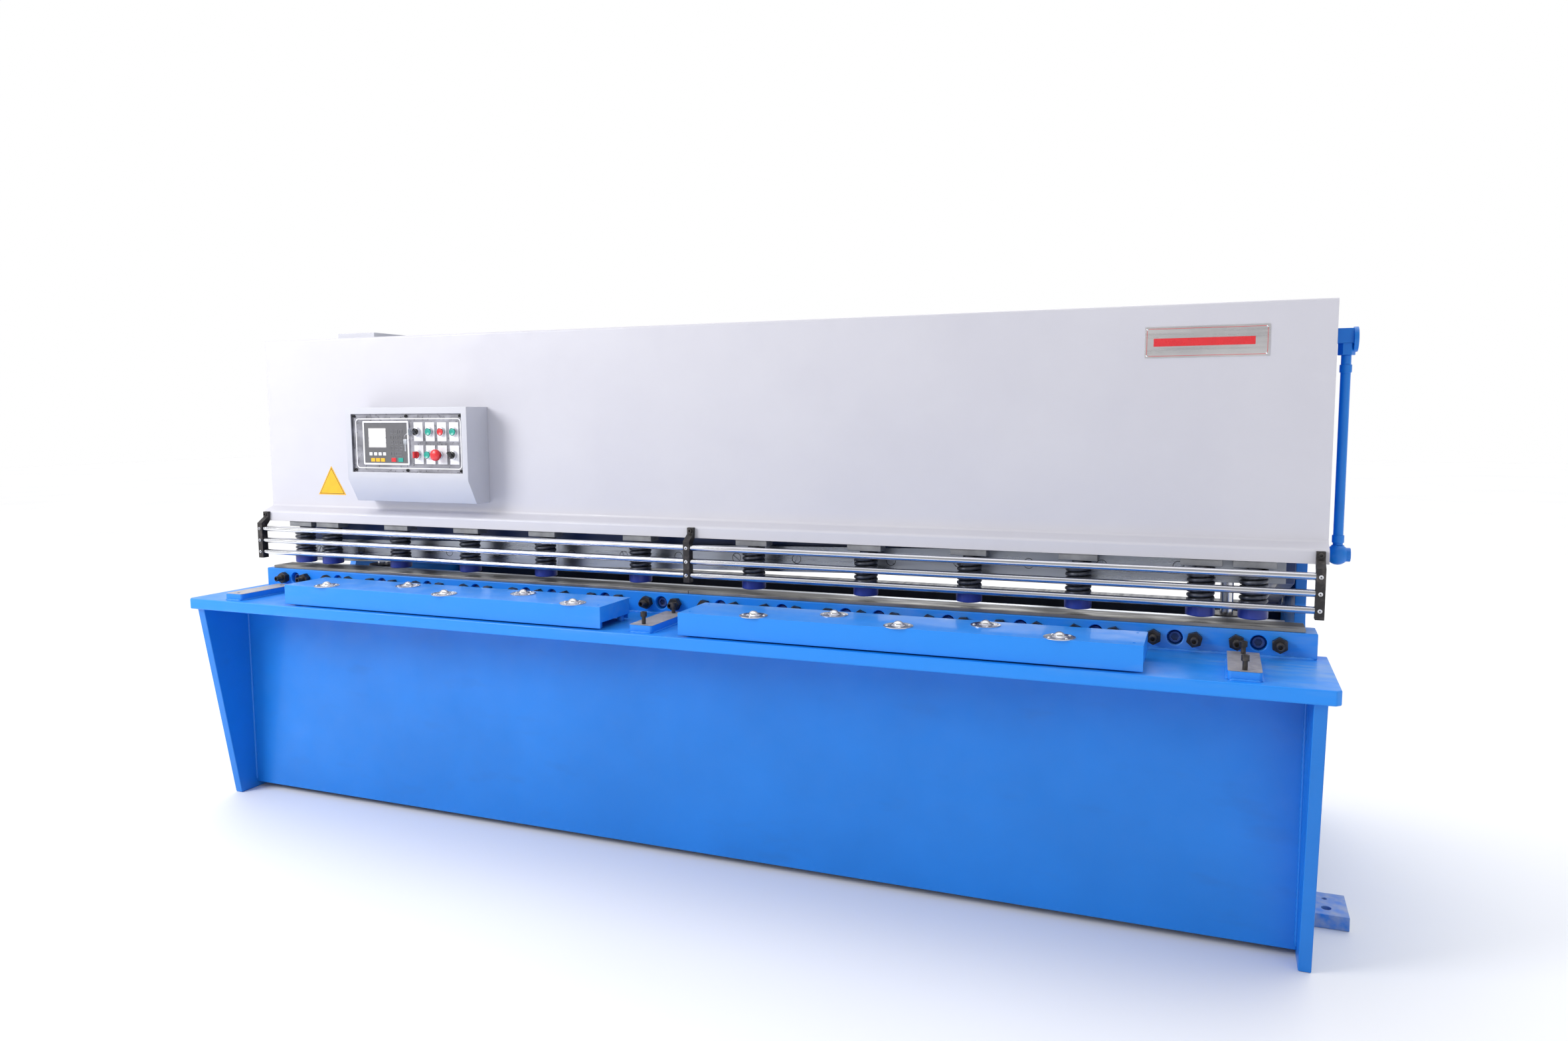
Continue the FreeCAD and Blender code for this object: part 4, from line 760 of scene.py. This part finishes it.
def controller():
    """Gauge controller: pale frame, grey face, display and rows of blank keys."""
    front, back = PLATE_Y - 0.004, -0.500
    left, right, low, high = -1.2345, -1.0465, 1.2025, 1.3425
    bm = bmesh.new()
    block(bm, (left, PLATE_Y - 0.001, low), (right, back, high), 0.001)
    finished(bm, "controller_body", "controller_grey", "frame", ("controller",))
    bm = bmesh.new()
    ring_line(bm, (-1.240, 1.197), (-1.041, 1.348), PLATE_Y, 0.004, 0.0060, 0.0045)
    finished(bm, "controller_frame", "bezel_white", "frame")
    bm = bmesh.new()
    block(bm, (left, front + 0.0006, low), (right, PLATE_Y - 0.0005, high), 0.0006)
    finished(bm, "controller_face", "controller_grey", "frame")
    bm = bmesh.new()
    ring_line(bm, (-1.216, 1.2565), (-1.139, 1.3235), front + 0.0006, 0.002, 0.0022, 0.0008)
    finished(bm, "controller_display_rim", "plate_aluminium", "frame")
    bm = bmesh.new()
    block(bm, (-1.2138, front, 1.2588), (-1.1412, front + 0.0010, 1.3212), 0.0004)
    finished(bm, "controller_display", "bezel_white", "frame")
    upper_z, lower_z = 1.2290, 1.2075
    groups = (
        ("bezel", "bezel_white", upper_z, 0.0135, 0.0110,
         [-1.214] + [-1.1935 + 0.0195 * step for step in range(3)]),
        ("yellow", "sign_yellow", lower_z, 0.0175, 0.0125, [-1.2075 + 0.0215 * step for step in range(3)]),
        ("red", "red_plastic", lower_z, 0.0195, 0.0140, [-1.1185]),
        ("green", "green_plastic", lower_z, 0.0205, 0.0140, [-1.0885]),
    )
    for name, slot, z, key_wide, key_high, key_x in groups:
        bm = bmesh.new()
        for x in key_x:
            block(bm, (x, front - 0.0008, z), (x + key_wide, front + 0.0010, z + key_high), 0.0007, 2)
        finished(bm, "controller_keys_" + name, slot, "frame")
    bm = bmesh.new()
    for row in range(5):
        for column in range(3 if row < 4 else 1):
            x = -1.1195 + 0.0195 * column
            z = 1.3175 - 0.0190 * row
            ring_line(bm, (x, z - 0.0120), (x + 0.0125, z), front + 0.0006, 0.0020, 0.0008, 0.0008)
    ring_line(bm, (-1.1000, 1.2295), (-1.0710, 1.2415), front + 0.0006, 0.0020, 0.0008, 0.0008)
    finished(bm, "controller_key_outlines", "plate_grey", "frame")


def switch_plates():
    """Blank label plates with round collars behind every switch."""
    seats = [(x, ROW_HIGH) for x in SWITCH_X] + [(x, ROW_LOW) for x in KNOB_X]
    half_wide, half_high = 0.0190, 0.032
    bm = bmesh.new()
    for z in (ROW_HIGH, ROW_LOW):
        for x in LABEL_X:
            block(bm, (x - half_wide, PLATE_Y - 0.0015, z - half_high),
                  (x + half_wide, PLATE_Y + 0.0002, z + half_high), 0.0006)
    finished(bm, "switch_label_plates", "bezel_white", "frame", ("switch_bezels",))
    bm = bmesh.new()
    collar = [(0.0121, 0.001), (0.0121, 0.0085), (0.0128, 0.0098), (0.0138, 0.0094), (0.0148, 0.0060),
              (0.0150, 0.0015), (0.0150, 0.0)]
    for x, z in seats:
        facing(bm, collar, x, PLATE_Y - 0.001, z)
    finished(bm, "switch_collars", "chrome", "frame")


def push_buttons():
    """Slightly dished caps."""
    cap = [(0.0, 0.0108), (0.0070, 0.0110), (0.0102, 0.0124), (0.0112, 0.0122), (0.0117, 0.0108),
           (0.0117, 0.0060), (0.0090, 0.0060), (0.0090, -0.010), (0.0, -0.010)]
    for node, x, z in (("start_button", SWITCH_X[1], ROW_HIGH), ("stop_button", SWITCH_X[2], ROW_HIGH),
                       ("cycle_button", SWITCH_X[3], ROW_HIGH), ("green_button", KNOB_X[1], ROW_LOW)):
        bm = bmesh.new()
        facing(bm, cap, x, PLATE_Y, z)
        finished(bm, node + "_cap", NODE_SLOT[node], node, (node,))


def knob(node, x, z, length, tilt):
    """Round skirt with a tapered finger grip."""
    bm = bmesh.new()
    facing(bm, [(0.0, 0.0145), (0.0088, 0.0140), (0.0112, 0.0125), (0.0120, 0.0100), (0.0118, 0.0085),
                (0.0090, 0.0080), (0.0090, -0.010), (0.0, -0.010)], x, PLATE_Y, z)
    wide, tall, taper, middle_y = 0.0100, 0.0140, 0.72, PLATE_Y - 0.0190
    fresh = bmesh.ops.create_cube(bm, size=1.0)["verts"]
    for vert in fresh:
        narrow = taper if vert.co.z > 0 else 1.0
        vert.co.x *= wide * narrow
        vert.co.y *= length
        vert.co.z *= tall
    before = set(bm.verts) - set(fresh)
    bevel_edges(bm, edges_of(fresh), 0.0014, 3)
    fresh = [vert for vert in bm.verts if vert not in before]
    turn = Matrix.Translation((x, middle_y, z)) @ TO_OPERATOR @ Matrix.Rotation(tilt, 4, "Z")
    bmesh.ops.transform(bm, matrix=turn, verts=fresh)
    finished(bm, node + "_cap", NODE_SLOT[node], node, (node,))


def emergency_stop():
    """Red mushroom head with a waist and a soft rim."""
    bm = bmesh.new()
    facing(bm, [(0.0, 0.0338), (0.0090, 0.0334), (0.0150, 0.0318), (0.0186, 0.0288), (0.0199, 0.0252),
                (0.0196, 0.0215), (0.0182, 0.0200), (0.0120, 0.0196), (0.0090, 0.0170), (0.0090, -0.010),
                (0.0, -0.010)], KNOB_X[2], PLATE_Y, ROW_LOW, 48)
    finished(bm, "emergency_stop_head", "red_plastic", "emergency_stop", ("emergency_stop",), 30)


def key_switch():
    """Lock core with its key, a ring and a second key that hangs from it."""
    x, z = SWITCH_X[0], ROW_HIGH
    bm = bmesh.new()
    facing(bm, [(0.0, 0.0105), (0.0040, 0.0105), (0.0050, 0.0118), (0.0078, 0.0120), (0.0090, 0.0108),
                (0.0090, -0.010), (0.0, -0.010)], x, PLATE_Y, z)
    finished(bm, "key_switch_core", "black_plastic", "key_switch", ("key_switch",))
    bm = bmesh.new()
    hang = z - 0.0090
    ring_place, ring_r, ring_wire = (x - 0.0085, PLATE_Y - 0.0410, hang - 0.0085), 0.0105, 0.0009
    blocks = (
        ((x - 0.0011, PLATE_Y - 0.026, z - 0.0038), (x + 0.0011, PLATE_Y - 0.010, z + 0.0038), 0.0004),
        ((x - 0.0014, PLATE_Y - 0.045, z - 0.0105), (x + 0.0014, PLATE_Y - 0.025, z + 0.0105), 0.0012),
        ((x - 0.0230, PLATE_Y - 0.0440, hang - 0.0330), (x - 0.0085, PLATE_Y - 0.0415, hang - 0.0160),
         0.0010),
        ((x - 0.0185, PLATE_Y - 0.0436, hang - 0.0560), (x - 0.0130, PLATE_Y - 0.0419, hang - 0.0320),
         0.0006),
    )
    for low, high, edge_width in blocks:
        block(bm, low, high, edge_width)
    finished(bm, "switch_keys", "tool_steel", "key_switch")
    bm = bmesh.new()
    start = Matrix.Translation((ring_place[0] + ring_r, ring_place[1], ring_place[2]))
    ring = bmesh.ops.create_circle(bm, cap_ends=False, segments=8, radius=ring_wire, matrix=start)
    geom = list(ring["verts"]) + edges_of(ring["verts"])
    bmesh.ops.spin(bm, geom=geom, cent=ring_place, axis=(0, 1, 0), angle=2 * math.pi, steps=32,
                   use_merge=True)
    bmesh.ops.recalc_face_normals(bm, faces=bm.faces)
    finished(bm, "switch_key_ring", "chrome", "key_switch", smooth_below=60, even=False)


# ---------------------------------------------------------------- plates

def name_plate():
    """Blank aluminium plate with a thin red border line, a plain red band and four rivets."""
    low, high = (1.333, 1.506), (1.637, 1.587)
    face_y = PANEL_Y - 0.0020
    line_inset, rivet_inset = 0.0045, 0.006
    bm = bmesh.new()
    block(bm, (low[0], face_y, low[1]), (high[0], PANEL_Y + 0.0005, high[1]), 0.0006)
    finished(bm, "name_plate_blank", "plate_aluminium", "frame", ("name_plate",))
    bm = bmesh.new()
    ring_line(bm, (low[0] + line_inset, low[1] + line_inset),
              (high[0] - line_inset, high[1] - line_inset), face_y + 0.0001, 0.005, 0.0010, 0.0004)
    block(bm, (low[0] + 0.022, face_y - 0.0004, low[1] + 0.0300),
          (high[0] - 0.034, face_y + 0.0004, high[1] - 0.0300), 0.0002)
    finished(bm, "name_plate_lines", "red_plastic", "frame")
    rivet = [(0.0, 0.0012), (0.0016, 0.0010), (0.0026, 0.0003), (0.0027, -0.0005)]
    bm = bmesh.new()
    for x in (low[0] + rivet_inset, high[0] - rivet_inset):
        for z in (low[1] + rivet_inset, high[1] - rivet_inset):
            facing(bm, rivet, x, face_y, z, 14)
    finished(bm, "name_plate_rivets", "chrome", "frame")


def triangle(bm, shrink, low_y, high_y):
    """Upright triangle inset from the sign's outline."""
    corners = [Vector((-1.562, 0, 1.078)), Vector((-1.433, 0, 1.078)), Vector((-1.4975, 0, 1.183))]
    middle = sum(corners, Vector()) / 3
    insets = [corner.lerp(middle, shrink) for corner in corners]
    face = bm.faces.new([bm.verts.new((inset.x, high_y, inset.z)) for inset in insets])
    made = bmesh.ops.extrude_face_region(bm, geom=[face])
    bmesh.ops.translate(bm, vec=(0, low_y - high_y, 0), verts=verts_in(made["geom"]))
    bmesh.ops.recalc_face_normals(bm, faces=bm.faces)


def safety_sign():
    """Plain yellow triangle with a darker border and a paler middle."""
    bm = bmesh.new()
    triangle(bm, 0.0, PANEL_Y - 0.0008, PANEL_Y + 0.0002)
    finished(bm, "safety_sign_base", "sign_yellow", "frame", ("safety_sign",))
    bm = bmesh.new()
    triangle(bm, 0.10, PANEL_Y - 0.0010, PANEL_Y - 0.0004)
    finished(bm, "safety_sign_border", "black_plastic", "frame")
    bm = bmesh.new()
    triangle(bm, 0.145, PANEL_Y - 0.0012, PANEL_Y - 0.0004)
    finished(bm, "safety_sign_middle", "sign_yellow", "frame")


# ---------------------------------------------------------------- back gauge

def lead_screws():
    """Lead screws with a real helical thread between plain ends."""
    radius, root, pitch = 0.0119, 0.0098, 0.010
    start, length, front_end = -0.270, 0.950, -0.300
    shoulder, back_end, z = 0.741, 0.757, 0.915
    chamfer, sunk = 0.001, 0.0008
    turns = int(length / pitch) - 1
    core = [(0.0, front_end), (radius - chamfer, front_end), (radius, front_end + chamfer), (radius, start),
            (root, start), (root, start + length), (radius, start + length), (radius, shoulder),
            (0.019, shoulder), (0.024, 0.755), (0.023, back_end), (0.0, back_end)]
    tooth = [(root - sunk, 0.0018), (radius, 0.0030), (radius, 0.0060), (root - sunk, 0.0072)]
    for node, x in (("gauge_screw_left", -1.033), ("gauge_screw_right", 1.033)):
        bm = bmesh.new()
        lathe(bm, core, (x, 0, z), "Y", 24)
        verts = [bm.verts.new((x + r, start + h, z)) for r, h in tooth]
        edges = [bm.edges.new(pair) for pair in zip(verts, verts[1:])]
        steps = 14 * turns
        bmesh.ops.spin(bm, geom=verts + edges, cent=(x, start, z), axis=(0, 1, 0),
                       dvec=(0, turns * pitch / steps, 0), angle=2 * math.pi * turns, steps=steps,
                       use_merge=False)
        bmesh.ops.recalc_face_normals(bm, faces=bm.faces)
        raised(bm)
        finished(bm, node + "_thread", "machined_steel", node, (node,), 50, even=False)


# ---------------------------------------------------------------- camera, light, stage

def camera():
    """Standing in front of the right half, looking a little left and down."""
    yaw, pitch, roll = math.radians(21.9), math.radians(5.6), math.radians(-0.3)
    eye = (1.5158, -3.4960, 1.3599)
    right = Vector((math.cos(yaw), math.sin(yaw), 0))
    ahead = Vector((-math.sin(yaw) * math.cos(pitch), math.cos(yaw) * math.cos(pitch),
                    -math.sin(pitch)))
    up = right.cross(ahead)
    side = right * math.cos(roll) + up * math.sin(roll)
    top = up * math.cos(roll) - right * math.sin(roll)
    data = bpy.data.cameras.new("camera")
    data.lens = 24.62
    data.sensor_width = 36.0
    view = bpy.data.objects.new("camera", data)
    bpy.context.scene.collection.objects.link(view)
    place = Matrix((side, top, -ahead)).transposed().to_4x4()
    place.translation = eye
    view.matrix_world = place
    bpy.context.scene.camera = view


def soft_light(name, place, target, size, power):
    """Large square lamp that faces its target."""
    data = bpy.data.lights.new(name, "AREA")
    data.shape = "SQUARE"
    data.size = size
    data.energy = power
    lamp = bpy.data.objects.new(name, data)
    bpy.context.scene.collection.objects.link(lamp)
    lamp.location = place
    lamp.rotation_mode = "QUATERNION"
    lamp.rotation_quaternion = (Vector(target) - Vector(place)).to_track_quat("-Z", "Y")


def studio():
    """Pale floor, white surroundings and large soft lights from the front left and above."""
    bm = bmesh.new()
    floor_half, floor_drop = 30.0, 0.0005
    bmesh.ops.create_grid(bm, x_segments=1, y_segments=1, size=floor_half,
                          matrix=Matrix.Translation((0, 0, -floor_drop)))
    mesh = bpy.data.meshes.new("floor")
    bm.to_mesh(mesh)
    bm.free()
    floor = bpy.data.objects.new("floor", mesh)
    bpy.context.scene.collection.objects.link(floor)
    pale = Surface("pale_floor", (0.90, 0.90, 0.90), 0.6)
    pale.tint(pale.window(pale.noise(0.8, 2.0), 0.4, 0.7), (0.88, 0.88, 0.885))
    mesh.materials.append(pale.material)
    world = bpy.data.worlds.new("studio")
    world.use_nodes = True
    tree = world.node_tree
    direction = tree.nodes.new("ShaderNodeTexCoord").outputs["Generated"]
    split = tree.nodes.new("ShaderNodeSeparateXYZ")
    tree.links.new(direction, split.inputs["Vector"])
    strength = tree.nodes.new("ShaderNodeMapRange")
    strength.inputs["From Min"].default_value = -0.2
    strength.inputs["From Max"].default_value = 0.2
    strength.inputs["To Min"].default_value = 0.47
    strength.inputs["To Max"].default_value = 1.0
    tree.links.new(split.outputs["Y"], strength.inputs["Value"])
    tree.links.new(strength.outputs["Result"], tree.nodes["Background"].inputs["Strength"])
    tree.nodes["Background"].inputs["Color"].default_value = (1.0, 1.0, 1.0, 1.0)
    bpy.context.scene.world = world
    soft_light("key", (-4.0, -4.2, 3.4), (-0.6, -0.2, 0.9), 2.4, 215.0)
    soft_light("fill", (4.2, -4.4, 2.6), (0.3, -0.2, 0.9), 3.0, 18.0)
    soft_light("back", (0.0, 5.0, 3.4), (0.0, 0.3, 0.9), 3.0, 60.0)
    sky = bpy.data.lights.new("sky", "SUN")
    sky.energy = 1.2
    sky.angle = math.radians(80)
    lamp = bpy.data.objects.new("sky", sky)
    bpy.context.scene.collection.objects.link(lamp)
    lamp.rotation_euler = (math.radians(-12), math.radians(-8), 0.0)
    bpy.context.scene.view_settings.view_transform = "Standard"


# ---------------------------------------------------------------- the whole machine

make_finishes()
ROUNDED = {
    "side_housing_right": 0.0025, "side_housing_left": 0.0025, "work_table": 0.0035,
    "front_apron": 0.0020, "bed_beam": 0.0030, "bed_liner": 0.0012, "lower_blades": 0.0004,
    "lower_blade_bolts": 0.0010, "cross_members": 0.0020, "anchor_feet": 0.0020, "rear_chute": 0.0008,
    "hold_down_beam": 0.0020, "hold_down_blocks": 0.0015, "hold_down_feet": 0.0008,
    "guard_brackets": 0.0012, "guard_rods": 0.0010, "ball_boxes": 0.0012, "table_pads": 0.0015,
    "pad_bolts": 0.0008, "control_box": 0.0012, "operator_plate": 0.0003, "blade_beam": 0.0020,
    "upper_blades": 0.0005, "upper_blade_screws": 0.0005, "pivot_bushes": 0.0005,
    "pivot_shafts": 0.0012, "main_cylinders": 0.0015, "main_piston_right": 0.0006,
    "main_piston_left": 0.0006, "return_cylinders": 0.0012, "return_rods": 0.0006,
    "oil_tank": 0.0015, "motor_and_pump": 0.0010, "valve_block": 0.0010, "hydraulic_pipes": 0.0005,
    "electrical_cabinet": 0.0012, "side_oil_pipe": 0.0012, "gauge_rails": 0.0012,
    "gauge_cross_shaft": 0.0005, "back_gauge": 0.0010,
}
for cad_node, edge_width in ROUNDED.items():
    softened(cad_node, edge_width)
front_panel()
guard_screws()
adjusting_nuts()
bed_welds()
hold_down_springs()
ball_sockets()
transfer_balls()
pad_faces()
upper_screw_gap_shade_rings()
shade_sleeves_in_springs()
console_plate_details()
controller()
switch_plates()
push_buttons()
knob("red_knob", KNOB_X[0], ROW_LOW, 0.022, 0.0)
knob("black_selector", KNOB_X[3], ROW_LOW, 0.026, math.radians(40))
emergency_stop()
key_switch()
name_plate()
safety_sign()
lead_screws()
for part, thing in NODES.items():
    thing.data.materials.clear()
    thing.data.materials.append(FINISH[NODE_SLOT[part]])
camera()
studio()

bpy.context.view_layer.update()
